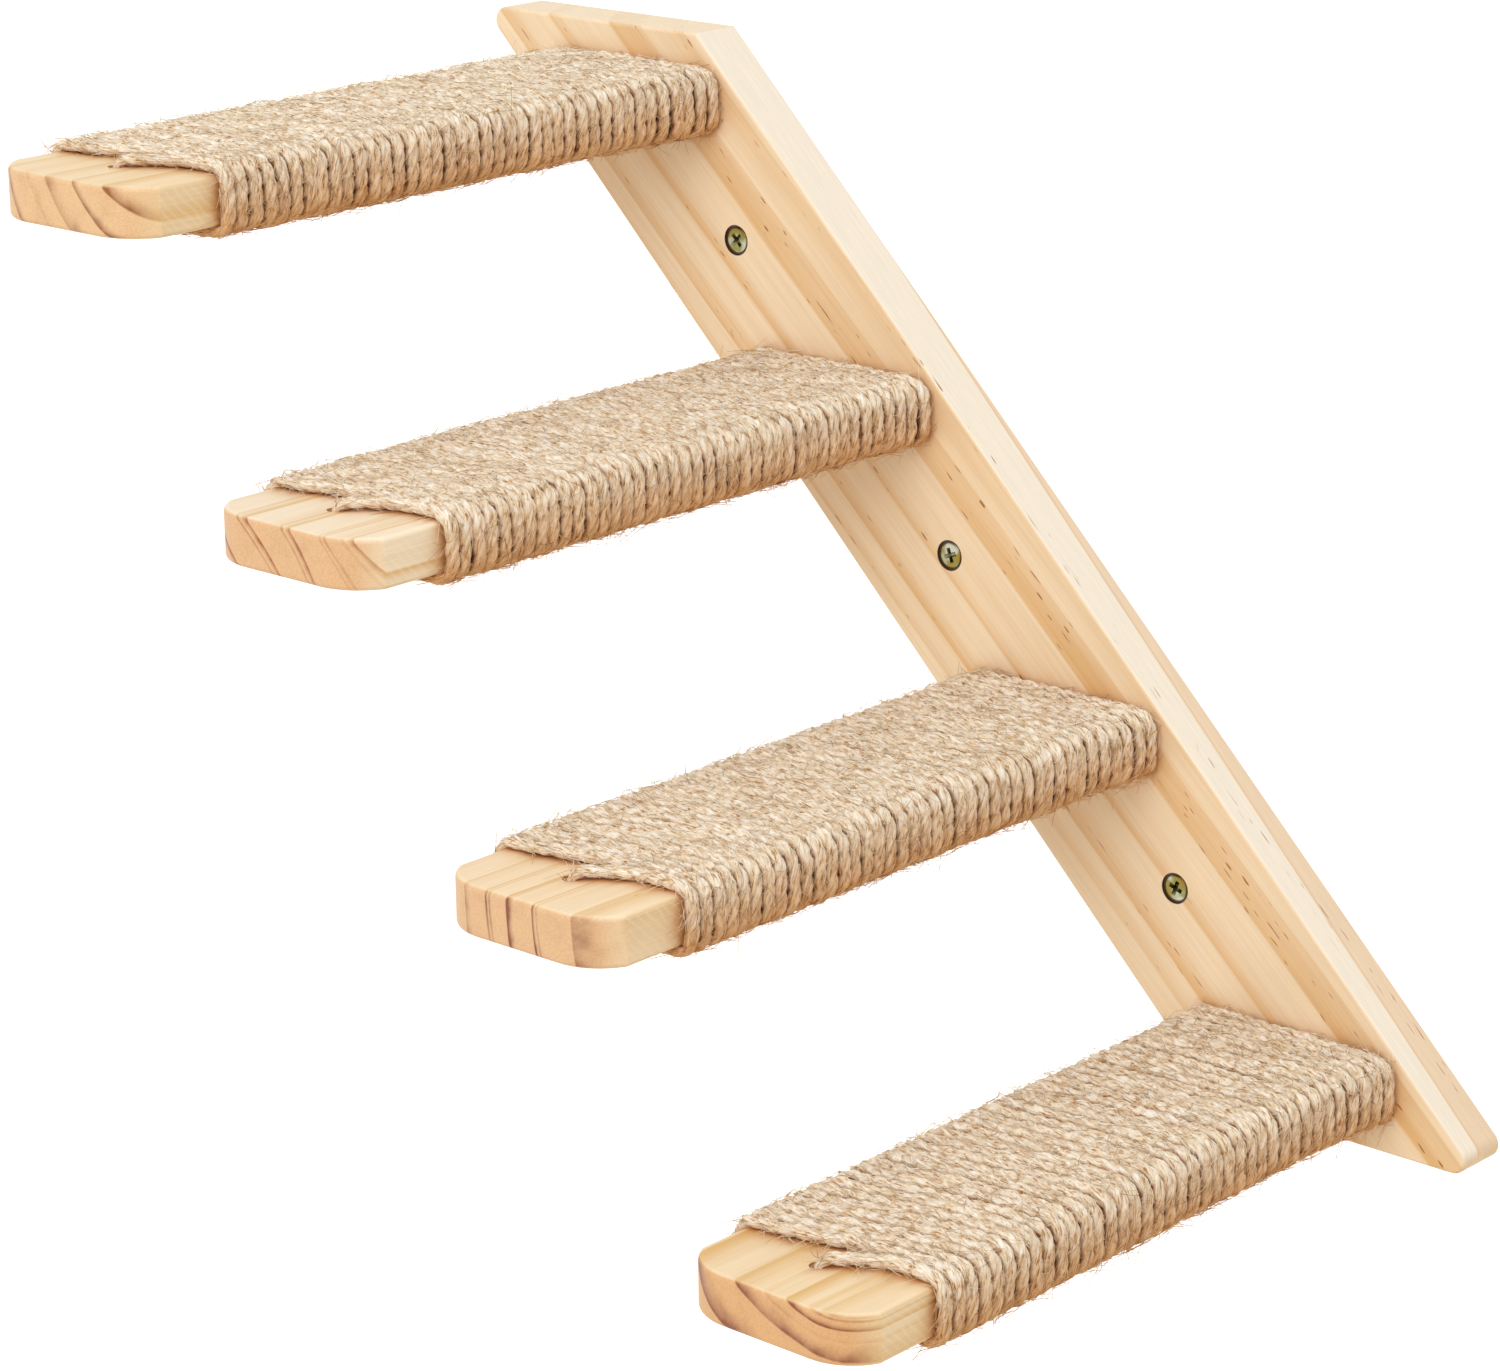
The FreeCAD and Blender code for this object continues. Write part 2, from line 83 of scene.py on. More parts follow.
# Its strands: thickness, how much that varies and in what waves (radians a ring), and the lumps on them
STRANDS = 3
STRAND_DIA = 3.7
STRAND_SWELL = 0.18
SWELL_WAVES = (0.37, 0.113)
LUMP_HIGH = 0.3
LUMP_LONG = 3.2

# Its two ends: the hole in the top of a step, the one underneath, and how the rope is squeezed into them
HOLE_ACROSS = 1.0
HOLE_INSET = 29.3
HOLE_MOUTH = 2
HOLE_EXIT = 1.6
FINISH_ACROSS = 31.8
FINISH_INSET = 6.2
TAIL_DEPTH = 10
TAIL_SQUEEZE = 0.72
TAIL_EASE = 60

# Its winding: where the turns begin and end, how they slant, and how they go round the edges
FIRST_TURN_INSET = 44.5
BOARD_GAP = 0.8
FRONT_SLANT = 12.5
TOP_BEND = 0.75
CORNER_ACROSS = 17
SIDE_BULGE = 0.8
LAST_BULGE = 3
BULGED_TURNS = 5
RUN_POINTS = 4

# How far winding by hand strays: across a flat, from turn to turn, down a side and off the wood
WANDER = 0.22
UNEVEN = 0.55
SIDE_LEAN = 0.5
LIFT = 0.4

# The pattern on a strand: its rough length, twists over that length, and bundles of fibre (long, and around)
STRAND_LENGTH = 11000
FIBRE_TWISTS = 60
BUNDLE_LONG = 6
BUNDLES_AROUND = 14
JUTE_PATCH = 4

# Loose fibres in millimetres, drawn thicker than real ones so that they show. Most cling to the strands,
# and about one in eight stands off and is pale. Angles are in radians from the rope's way. The further out
# a place is, the likelier it has a fibre, and from MOST_OUTSIDE on every place tried gets one.
FIBRES = 9200
FIBRE_DIA = 0.28
FIBRE_LENGTHS = (4, 11)
FIBRE_POINTS = (0, 0.3, 0.65, 1)
FIBRE_TAPER = 0.5
FIBRE_END_RINGS = 5
CLINGING = 0.88
CLING_ANGLE = -0.45
CLING_SPREAD = 0.6
CLING_RISE = (0.0, 0.12)
STRAY_RISE = (0.05, 0.3)
PALE_STRAY = 0.7
CURL_ALONG = 0.3
CURL_ACROSS = 0.4
CURL_DOWN = 0.05
MOST_OUTSIDE = 0.9

# The length of rope, in millimetres from its start, whose flank shows at the free end of a step
FRONT_RUN = 290

# Painted light and shade by height, as shares of half a wound step's thickness: where the paling begins and
# over how much it grows
HEIGHT_LIGHT_FROM = -0.7
HEIGHT_LIGHT_SPAN = 1.5

# Grain sizes in millimetres, along the trunk and twice across it. Fibres and pores are finer than this in
# real pine, and are drawn coarse enough to show.
DRIFT = (210, 34, 34)
STREAK = (150, 8, 8)
WOOD_FIBRE = (38, 0.7, 0.7)
RESIN_DASH = (9, 1.1, 1.1)
PORE = (30, 0.7, 0.7)
# How far in millimetres the painted shade reaches where the wood meets the rope, the steps and the screws
CONTACT_SHADE_REACH = 9

# Planer marks 4 to 5 mm apart: a wave texture repeats every 0.63 units, here 4.5 mm
PLANER_MARKS = (0.14, 0, 0.14)

# Rings in millimetres: the sharp edge after a ring, and the trunk beyond the first and the last one
RING_EDGE = 0.35
TRUNK_MARGIN = 30

# The golden zone on the board's right side: its reach in millimetres, and its depth over that reach
FLANK_REACH = (-1, 9)
FLANK_STOPS = [(0, 0.0), (0.1, 0.0), (0.13, 0.75), (0.3, 0.45), (1, 0.5)]

# The painted shade in the drilled seat of a wall screw: its radius in millimetres, and how far its edge fades
SEAT_RADIUS = 6.4
SEAT_FADE = 1.04

# Screws in millimetres: head, straight rim, shank, its length, core, whole length, point and thread pitch
WALL_SCREW = {"head": 11, "rim": 0.6, "shank": 6, "plain": 23.5, "core": 4.2, "length": 60, "point": 6,
              "pitch": 2.6}
STEP_SCREW = {"head": 10, "rim": 0.5, "shank": 5, "plain": 23.4, "core": 3.6, "length": 70, "point": 5,
              "pitch": 2.2}
STEP_SCREW_SPREAD = 50
SCREW_SIDES = 32

# How far each wall screw was turned, in degrees
SCREW_TURNS = (45, 20, 70)

# Rounded rim of a head: shares of its radius, with the drop in millimetres. The first is the flat land.
HEAD_ROUND = ((0.82, 0), (0.92, -0.1), (0.98, -0.3))

# Cross recess, as shares of the head: reach and half width of an arm, depth, and how far its floor narrows
RECESS_REACH = 0.29
RECESS_HALF = 0.085
RECESS_DEPTH = 0.22
RECESS_TAPER = 0.5

# Thread in millimetres: the neck below the shank, its start, the length left over, its root and half width.
# THREAD_TIP is the share of its radius that is left at the point.
THREAD_SIDES = 16
THREAD_NECK = 1
THREAD_START = 2
THREAD_SPARE = 3
THREAD_ROOT = 0.3
THREAD_HALF = 0.55
THREAD_TIP = 0.1

# Wall plugs in millimetres, with the nose as a share of the radius
PLUG_DIA = 8
PLUG_LENGTH = 40
PLUG_BORE = 4.4
PLUG_NOSE = 3
PLUG_NOSE_SHARE = 0.7
PLUG_RIB = 3.2
PLUG_RIB_DEEP = 0.35
PLUG_GROOVE = 0.4
PLUG_COLLAR = 4
PLUG_JAWS = 4
PLUG_JAW_SIDES = 10
PLUG_JAW_OVERLAP = 0.5
PLUG_SLIT = 1.2

# The white studio: softboxes with watts and places, the sky's level by height, and the floor
SOFTBOXES = (("softbox", 22, (0.7, -1.9, 1.4)), ("low_softbox", 4, (-0.9, -1.7, -0.7)))
SOFTBOX_SIZE = (2.2, 1.8)
SKY_HEIGHTS = (-0.1, 0.9)
SKY_LEVELS = (0.76, 0.96)
FLOOR_DROP = 1.2
FLOOR_SIZE = 14
FLOOR_GLOW = 0.5


def linear(code):
    """A colour written as sRGB hex, as linear red, green, blue and alpha."""
    parts = [int(code[i:i + 2], 16) / 255 for i in (1, 3, 5)]
    return [c / 12.92 if c <= 0.04045 else ((c + 0.055) / 1.055) ** 2.4 for c in parts] + [1]


def per_mm(sizes):
    """The scale of a pattern whose features have the given sizes in millimetres."""
    return tuple(1 / size for size in sizes)


def add(tree, kind, sockets=None, stops=(), **settings):
    """Adds a node with its settings, and sets each input or links it to the output given for it."""
    made = tree.nodes.new(kind)
    for name, setting in settings.items():
        setattr(made, name, setting)
    for key, source in (sockets or {}).items():
        if isinstance(source, bpy.types.NodeSocket):
            tree.links.new(source, made.inputs[key])
        else:
            made.inputs[key].default_value = source
    if stops:
        ramp = made.color_ramp.elements
        tones = [(spot, linear(tone) if isinstance(tone, str) else (tone, tone, tone, 1))
                 for spot, tone in stops]
        for element, (spot, tone) in zip(ramp, (tones[0], tones[-1])):
            element.position = spot
            element.color = tone
        for spot, tone in tones[1:-1]:
            ramp.new(spot).color = tone
    return made


def new_material(name):
    """An empty material and the function that adds nodes to it."""
    material = bpy.data.materials.new(name)
    material.use_nodes = True
    material.node_tree.nodes.clear()
    return material, functools.partial(add, material.node_tree)


def late_wood(rings, inner, outer):
    """Ramp stops over the radius of a trunk: each ring changes over its fade and ends in a sharp edge."""
    stops = [(inner, 0.0)]
    for radius, fade, depth, start in rings:
        if start:
            stops.append((radius - fade - RING_EDGE, 0.0))
        stops += [(radius - fade, start), (radius, depth), (radius + RING_EDGE, 0.0)]
    stops.append((outer, 0.0))
    return [((place - inner) / (outer - inner), tone) for place, tone in stops]


def pine(name, cut, tones, contact_shade, resin=0.0, planed=0.0):
    """Sanded pine under a thin clear lacquer.

    The eye sees pale early wood that deepens to a soft golden band in each ring, fine streaks along the
    grain, and a warmer end grain where the rings are sharp brown lines over fine pores. The rings are
    cylinders round the heart of the trunk, so that faces and ends agree at every edge. Painted shade makes
    the wood a deeper gold where it meets another piece, and dark in the drilled seats of the screws.
    """
    material, node = new_material(name)
    place = node("ShaderNodeTexCoord")
    wood = node("ShaderNodeMapping", {"Vector": place.outputs["Object"], "Rotation": cut["turn"],
                                      "Scale": (1 / MM, 1 / MM, 1 / MM)})

    # Slow wander of the rings along the trunk: about a hand long and a finger wide, and its own in each trunk
    drift_place = node("ShaderNodeMapping", {"Vector": wood.outputs[0], "Scale": per_mm(DRIFT),
                                             "Location": cut["heart"]})
    drift = node("ShaderNodeTexNoise", {"Vector": drift_place.outputs[0], "Scale": 1, "Detail": 2})
    spread = node("ShaderNodeMapRange", {"Value": drift.outputs[0], "From Min": 0.25, "From Max": 0.75,
                                         "To Min": -cut["wander"], "To Max": cut["wander"]})
    offset = node("ShaderNodeVectorMath", {0: wood.outputs[0], 1: cut["heart"]}, operation="SUBTRACT")
    across = node("ShaderNodeVectorMath", {0: offset.outputs[0], 1: (0, 1, 1)}, operation="MULTIPLY")
    radius = node("ShaderNodeVectorMath", {0: across.outputs[0]}, operation="LENGTH")
    moved = node("ShaderNodeMath", {0: radius.outputs["Value"], 1: spread.outputs[0]}, operation="ADD")
    inner = cut["rings"][0][0] - TRUNK_MARGIN
    outer = cut["rings"][-1][0] + TRUNK_MARGIN
    grown = node("ShaderNodeMapRange", {"Value": moved.outputs[0], "From Min": inner, "From Max": outer})
    late = node("ShaderNodeValToRGB", {"Fac": grown.outputs[0]}, stops=late_wood(cut["rings"], inner, outer))

    # Golden streaks some 8 mm wide that come and go along a face
    streak_place = node("ShaderNodeMapping", {"Vector": wood.outputs[0], "Scale": per_mm(STREAK)})
    streak = node("ShaderNodeTexNoise", {"Vector": streak_place.outputs[0], "Scale": 1, "Detail": 2})
    gold = node("ShaderNodeMapRange", {"Value": streak.outputs[0], "From Min": 0.42, "From Max": 0.72,
                                       "To Max": 0.3})
    both = node("ShaderNodeMath", {0: late.outputs[0], 1: gold.outputs[0]}, operation="ADD")
    early = linear(tones["early"])
    facing = node("ShaderNodeNewGeometry")
    if "flank" in cut:
        # The right side is sawn through young wood: cream, with a golden zone behind a sharp slanting line
        lean, begin = cut["flank"]
        line = lean * begin
        towards = node("ShaderNodeVectorMath", {0: facing.outputs["Normal"], 1: cut["pale"]},
                       operation="DOT_PRODUCT")
        young = node("ShaderNodeMapRange", {"Value": towards.outputs["Value"], "From Min": 0.6,
                                            "From Max": 0.8})
        early = node("ShaderNodeMix", {"Factor": young.outputs[0], COLOUR_A: early,
                                       COLOUR_B: linear(tones["pale"])}, data_type="RGBA").outputs[MIXED]
        older = node("ShaderNodeMath", {0: 1.0, 1: young.outputs[0]}, operation="SUBTRACT")
        both = node("ShaderNodeMath", {0: both.outputs[0], 1: older.outputs[0]}, operation="MULTIPLY")
        depth = node("ShaderNodeVectorMath", {0: wood.outputs[0], 1: (lean, 1, 0)}, operation="DOT_PRODUCT")
        reach = node("ShaderNodeMapRange", {"Value": depth.outputs["Value"],
                                            "From Min": line + FLANK_REACH[0],
                                            "From Max": line + FLANK_REACH[1]})
        zone = node("ShaderNodeValToRGB", {"Fac": reach.outputs[0]}, stops=FLANK_STOPS)
        golden = node("ShaderNodeMath", {0: zone.outputs[0], 1: young.outputs[0]}, operation="MULTIPLY")
        both = node("ShaderNodeMath", {0: both.outputs[0], 1: golden.outputs[0]}, operation="ADD")
    ringed = node("ShaderNodeMix", {"Factor": both.outputs[0], COLOUR_A: early,
                                    COLOUR_B: linear(tones["late"])}, data_type="RGBA")

    # Fibres along the grain
    fibre_place = node("ShaderNodeMapping", {"Vector": wood.outputs[0], "Scale": per_mm(WOOD_FIBRE)})
    fibre = node("ShaderNodeTexNoise", {"Vector": fibre_place.outputs[0], "Scale": 1, "Detail": 3})
    shade = node("ShaderNodeMapRange", {"Value": fibre.outputs[0], "From Min": 0.3, "From Max": 0.7,
                                        "To Min": 0.94, "To Max": 1.04})
    fibred = node("ShaderNodeMix", {"Factor": 1.0, COLOUR_A: ringed.outputs[MIXED],
                                    COLOUR_B: shade.outputs[0]}, data_type="RGBA", blend_type="MULTIPLY")

    # Resin dashes in the golden bands, about 7 mm long and half a millimetre wide
    dash_place = node("ShaderNodeMapping", {"Vector": wood.outputs[0], "Scale": per_mm(RESIN_DASH)})
    dash = node("ShaderNodeTexNoise", {"Vector": dash_place.outputs[0], "Scale": 1, "Detail": 0})
    band = node("ShaderNodeMapRange", {"Value": late.outputs[0], "From Min": 0.3, "From Max": 0.45})
    sharp = node("ShaderNodeMapRange", {"Value": dash.outputs[0], "From Min": 0.74, "From Max": 0.79,
                                        "To Max": resin})
    sparse = node("ShaderNodeMath", {0: sharp.outputs[0], 1: band.outputs[0]}, operation="MULTIPLY")
    resined = node("ShaderNodeMix", {"Factor": sparse.outputs[0], COLOUR_A: fibred.outputs[MIXED],
                                     COLOUR_B: linear("#a5672f")}, data_type="RGBA")

    # A few pale, slanting planer marks on the right side of a step
    mark_place = node("ShaderNodeMapping", {"Vector": wood.outputs[0], "Scale": PLANER_MARKS})
    mark = node("ShaderNodeTexWave", {"Vector": mark_place.outputs[0], "Scale": 1, "Distortion": 3.5,
                                      "Detail": 2}, wave_type="BANDS", bands_direction="DIAGONAL")
    thin = node("ShaderNodeMath", {0: mark.outputs["Fac"], 1: 4}, operation="POWER")
    sideways = node("ShaderNodeVectorMath", {0: facing.outputs["Normal"], 1: (1, 0, 0)},
                    operation="DOT_PRODUCT")
    sided = node("ShaderNodeMapRange", {"Value": sideways.outputs["Value"], "From Min": 0.9, "From Max": 1.0,
                                        "To Max": planed})
    patchy = node("ShaderNodeMath", {0: sided.outputs[0], 1: streak.outputs[0]}, operation="MULTIPLY")
    marked = node("ShaderNodeMath", {0: thin.outputs[0], 1: patchy.outputs[0]}, operation="MULTIPLY")
    face = node("ShaderNodeMix", {"Factor": marked.outputs[0], COLOUR_A: resined.outputs[MIXED],
                                  COLOUR_B: linear("#fff6e6")}, data_type="RGBA")

    # End grain: sharper rings over pores
    crisp = node("ShaderNodeMath", {0: both.outputs[0], 1: 1.9}, operation="POWER")
    deep = node("ShaderNodeMath", {0: crisp.outputs[0], 1: 1.25}, operation="MULTIPLY", use_clamp=True)
    end_rings = node("ShaderNodeMix", {"Factor": deep.outputs[0], COLOUR_A: linear(tones["end_early"]),
                                       COLOUR_B: linear(tones["end_late"])}, data_type="RGBA")
    pore_place = node("ShaderNodeMapping", {"Vector": wood.outputs[0], "Scale": per_mm(PORE)})
    pore = node("ShaderNodeTexNoise", {"Vector": pore_place.outputs[0], "Scale": 1, "Detail": 1})
    pitted = node("ShaderNodeMapRange", {"Value": pore.outputs[0], "From Min": 0.3, "From Max": 0.7,
                                         "To Min": 0.9, "To Max": 1.05})
    end_face = node("ShaderNodeMix", {"Factor": 1.0, COLOUR_A: end_rings.outputs[MIXED],
                                      COLOUR_B: pitted.outputs[0]}, data_type="RGBA", blend_type="MULTIPLY")
    along = node("ShaderNodeVectorMath", {0: facing.outputs["Normal"], 1: cut["grain"]},
                 operation="DOT_PRODUCT")
    steep = node("ShaderNodeMath", {0: along.outputs["Value"]}, operation="ABSOLUTE")
    ended = node("ShaderNodeMapRange", {"Value": steep.outputs[0], "From Min": 0.35, "From Max": 0.8})
    bare = node("ShaderNodeMix", {"Factor": ended.outputs[0], COLOUR_A: face.outputs[MIXED],
                                  COLOUR_B: end_face.outputs[MIXED]}, data_type="RGBA")

    # Painted shade: a deeper gold within a few millimetres of the rope, the steps and the screws, where
    # ambient occlusion finds them
    near = node("ShaderNodeAmbientOcclusion", {"Distance": CONTACT_SHADE_REACH * MM}, samples=6)
    contact_shaded = node("ShaderNodeMapRange", {"Value": near.outputs["AO"], "From Min": 0.92, "From Max": 0.35,
                                           "To Max": contact_shade})
    colour = node("ShaderNodeMix", {"Factor": contact_shaded.outputs[0], COLOUR_A: bare.outputs[MIXED],
                                    COLOUR_B: linear("#d79a52")}, data_type="RGBA", blend_type="MULTIPLY")
    for seat in cut.get("seats", ()):
        # Painted shade in the drilled seat of a screw: its wall and floor are coloured dark brown
        aside = node("ShaderNodeVectorMath", {0: place.outputs["Object"], 1: seat}, operation="SUBTRACT")
        level = node("ShaderNodeVectorMath", {0: aside.outputs[0], 1: (1, 0, 1)}, operation="MULTIPLY")
        distance = node("ShaderNodeVectorMath", {0: level.outputs[0]}, operation="LENGTH")
        seat_shade = node("ShaderNodeMapRange", {"Value": distance.outputs["Value"],
                                             "From Min": SEAT_RADIUS * SEAT_FADE * MM,
                                             "From Max": SEAT_RADIUS * MM})
        colour = node("ShaderNodeMix", {"Factor": seat_shade.outputs[0], COLOUR_A: colour.outputs[MIXED],
                                        COLOUR_B: linear("#4a2f18")}, data_type="RGBA")

    rough = node("ShaderNodeMapRange", {"Value": fibre.outputs[0], "To Min": 0.36, "To Max": 0.56})
    bump = node("ShaderNodeBump", {"Height": fibre.outputs[0], "Strength": 0.12, "Distance": 0.1 * MM})
    shader = node("ShaderNodeBsdfPrincipled", {"Base Color": colour.outputs[MIXED], "IOR": 1.5,
                                               "Roughness": rough.outputs[0], "Normal": bump.outputs[0]})
    node("ShaderNodeOutputMaterial", {"Surface": shader.outputs[0]})
    return material


def jute():
    """Twisted jute yarn: dull golden-tan bast fibre. Painted light makes it paler on the top of a step, and
    painted shade makes it browner lower down and darkest in the gaps between strands and turns."""
    material, node = new_material("jute_rope")
    # Fibres a tenth of a millimetre thick, drawn as bundles of just under a millimetre so that they show.
    # They run nearly along the strand.
    place = node("ShaderNodeUVMap", uv_map="UVMap")
    length = node("ShaderNodeSeparateXYZ", {0: place.outputs[0]})
    twist = node("ShaderNodeMath", {0: length.outputs[0], 1: FIBRE_TWISTS}, operation="MULTIPLY")
    around = node("ShaderNodeMath", {0: length.outputs[1], 1: twist.outputs[0]}, operation="ADD")
    laid = node("ShaderNodeCombineXYZ", {0: length.outputs[0], 1: around.outputs[0]})
    bundle_place = node("ShaderNodeMapping", {"Vector": laid.outputs[0],
                                              "Scale": (STRAND_LENGTH / BUNDLE_LONG, BUNDLES_AROUND, 1)})
    bundle = node("ShaderNodeTexNoise", {"Vector": bundle_place.outputs[0], "Scale": 1, "Detail": 3,
                                         "Roughness": 0.6})
    spot = node("ShaderNodeTexCoord")
    patch = node("ShaderNodeTexNoise", {"Vector": spot.outputs["Object"], "Scale": 1 / (JUTE_PATCH * MM),
                                        "Detail": 3})
    mixed = node("ShaderNodeMix", {"Factor": 0.3, NUMBER_A: bundle.outputs[0], NUMBER_B: patch.outputs[0]})
    spread = node("ShaderNodeMapRange", {"Value": mixed.outputs[0], "From Min": 0.38, "From Max": 0.62})
    fibre = node("ShaderNodeValToRGB", {"Fac": spread.outputs[0]},
                 stops=[(0, "#a97a49"), (0.2, "#e4c69c"), (0.6, "#f9ebd5"), (1, "#fffaf0")])
    # Painted light and shade by height: paler on the top of a step, multiplied browner lower down
    height_light = node("ShaderNodeAttribute", attribute_name="height_light")
    low_shade = node("ShaderNodeMix", {"Factor": 1.0, COLOUR_A: fibre.outputs[0], COLOUR_B: linear("#eec9a0")},
               data_type="RGBA", blend_type="MULTIPLY")
    height_lit = node("ShaderNodeMix", {"Factor": height_light.outputs["Fac"], COLOUR_A: low_shade.outputs[MIXED],
                                     COLOUR_B: fibre.outputs[0]}, data_type="RGBA")
    # Painted shade in the gaps between strands and turns, from the crown mark; it is darker low on a step
    crown = node("ShaderNodeAttribute", attribute_name="crown")
    outside = node("ShaderNodeMapRange", {"Value": crown.outputs["Fac"], "From Min": -0.05, "From Max": 0.5})
    gap_shade = node("ShaderNodeMix", {"Factor": height_light.outputs["Fac"], COLOUR_A: linear("#6a4020"),
                                 COLOUR_B: linear("#c39464")}, data_type="RGBA")
    shaded = node("ShaderNodeMix", {"Factor": 1.0, COLOUR_A: height_lit.outputs[MIXED],
                                    COLOUR_B: gap_shade.outputs[MIXED]}, data_type="RGBA", blend_type="MULTIPLY")
    colour = node("ShaderNodeMix", {"Factor": outside.outputs[0], COLOUR_A: shaded.outputs[MIXED],
                                    COLOUR_B: height_lit.outputs[MIXED]}, data_type="RGBA")
    bump = node("ShaderNodeBump", {"Height": bundle.outputs[0], "Strength": 1.0, "Distance": 0.8 * MM})
    shader = node("ShaderNodeBsdfPrincipled", {
        "Base Color": colour.outputs[MIXED], "Roughness": 0.85, "Normal": bump.outputs[0],
        "Specular IOR Level": 0.25, "Sheen Weight": 0.15, "Sheen Roughness": 0.5,
    })
    node("ShaderNodeOutputMaterial", {"Surface": shader.outputs[0]})
    return material


def loose_jute():
    """Loose bast fibres on the rope: dull, from brown to pale at random, with painted shade that makes them
    browner low on a step.
    """
    material, node = new_material("jute_fibre")
    shade = node("ShaderNodeAttribute", attribute_name="crown")
    tone = node("ShaderNodeValToRGB", {"Fac": shade.outputs["Fac"]},
                stops=[(0, "#a87a4a"), (0.3, "#dcb98a"), (0.6, "#f3dfbf"), (1, "#fff6e6")])
    # Painted shade by height: the fibres are multiplied browner low on a step and left pale on its top
    low_shade = node("ShaderNodeMix", {"Factor": 1.0, COLOUR_A: tone.outputs[0], COLOUR_B: linear("#e6c096")},
               data_type="RGBA", blend_type="MULTIPLY")
    height_light = node("ShaderNodeAttribute", attribute_name="height_light")
    colour = node("ShaderNodeMix", {"Factor": height_light.outputs["Fac"], COLOUR_A: low_shade.outputs[MIXED],
                                    COLOUR_B: tone.outputs[0]}, data_type="RGBA")
    shader = node("ShaderNodeBsdfPrincipled", {"Base Color": colour.outputs[MIXED], "Roughness": 0.8,
                                               "Specular IOR Level": 0.2})
    node("ShaderNodeOutputMaterial", {"Surface": shader.outputs[0]})
    return material


def yellow_zinc():
    """Yellow passivated zinc on steel: a thin film that shifts from gold to green and grey.

    The clouds of colour are about 7 mm wide, and the roughness varies over 0.4 mm.
    """
    material, node = new_material("yellow_zinc")
    place = node("ShaderNodeTexCoord")
    cloud = node("ShaderNodeTexNoise", {"Vector": place.outputs["Object"], "Scale": 1 / (7 * MM),
                                        "Detail": 2})
    colour = node("ShaderNodeValToRGB", {"Fac": cloud.outputs[0]},
                  stops=[(0.34, "#8a6a26"), (0.5, "#7d7743"), (0.66, "#aeab99")])
    fine = node("ShaderNodeTexNoise", {"Vector": place.outputs["Object"], "Scale": 1 / (0.4 * MM),
                                       "Detail": 2})
    rough = node("ShaderNodeMapRange", {"Value": fine.outputs[0], "To Min": 0.22, "To Max": 0.42})
    shader = node("ShaderNodeBsdfPrincipled", {"Base Color": colour.outputs[0], "Metallic": 1.0,
                                               "Roughness": rough.outputs[0]})
    node("ShaderNodeOutputMaterial", {"Surface": shader.outputs[0]})
    return material


def moulded_nylon():
    """Moulded grey nylon: satin, with the faint cloudiness of a thick moulding, about 5 mm across."""
    material, node = new_material("moulded_nylon")
    place = node("ShaderNodeTexCoord")
    cloud = node("ShaderNodeTexNoise", {"Vector": place.outputs["Object"], "Scale": 1 / (5 * MM),
                                        "Detail": 3})
    colour = node("ShaderNodeValToRGB", {"Fac": cloud.outputs[0]}, stops=[(0.3, "#8b8f92"), (0.7, "#a2a6a8")])
    bump = node("ShaderNodeBump", {"Height": cloud.outputs[0], "Strength": 0.1, "Distance": 0.2 * MM})
    shader = node("ShaderNodeBsdfPrincipled", {"Base Color": colour.outputs[0], "Roughness": 0.48,
                                               "Normal": bump.outputs[0], "IOR": 1.53})
    node("ShaderNodeOutputMaterial", {"Surface": shader.outputs[0]})
    return material


def new_piece(name, mesh, material, crease=None):
    """A finished piece of the staircase, which rides on its one body."""
    mesh.name = name
    mesh.materials.clear()
    mesh.materials.append(material)
    mesh.polygons.foreach_set("use_smooth", [True] * len(mesh.polygons))
    if crease:
        mesh.set_sharp_from_angle(angle=math.radians(crease))
    piece = bpy.data.objects.new(name, mesh)
    bpy.context.scene.collection.objects.link(piece)
    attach(piece, "root")
    return piece


def close_up(shape):
    """Merges what is doubled and turns all faces outwards."""
    bmesh.ops.remove_doubles(shape, verts=shape.verts, dist=MERGE_REACH * MM)
    bmesh.ops.recalc_face_normals(shape, faces=shape.faces)


def weld(mesh):
    """Closes the seams where a tube meets its caps."""
    shape = bmesh.new()
    shape.from_mesh(mesh)
    close_up(shape)
    shape.to_mesh(mesh)
    shape.free()
    return mesh


def curve_mesh(paths, kind, **settings):
    """The mesh that a curve of the given paths makes; each path is a list of points with a radius."""
    curve = bpy.data.curves.new("path", "CURVE")
    curve.dimensions = "3D"
    for name, setting in settings.items():
        setattr(curve, name, setting)
    for path in paths:
        spline = curve.splines.new(kind)
        spline.points.add(len(path) - 1)
        spline.points.foreach_set("co", [number for point, _ in path for number in (*point, 1)])
        spline.points.foreach_set("radius", [radius for _, radius in path])
        spline.order_u = 3
        spline.use_endpoint_u = True
    holder = bpy.data.objects.new("path", curve)
    bpy.context.scene.collection.objects.link(holder)
    # A bevel object only shows in the evaluated curve
    mesh = bpy.data.meshes.new_from_object(holder.evaluated_get(bpy.context.evaluated_depsgraph_get()))
    bpy.data.objects.remove(holder)
    bpy.data.curves.remove(curve)
    return mesh


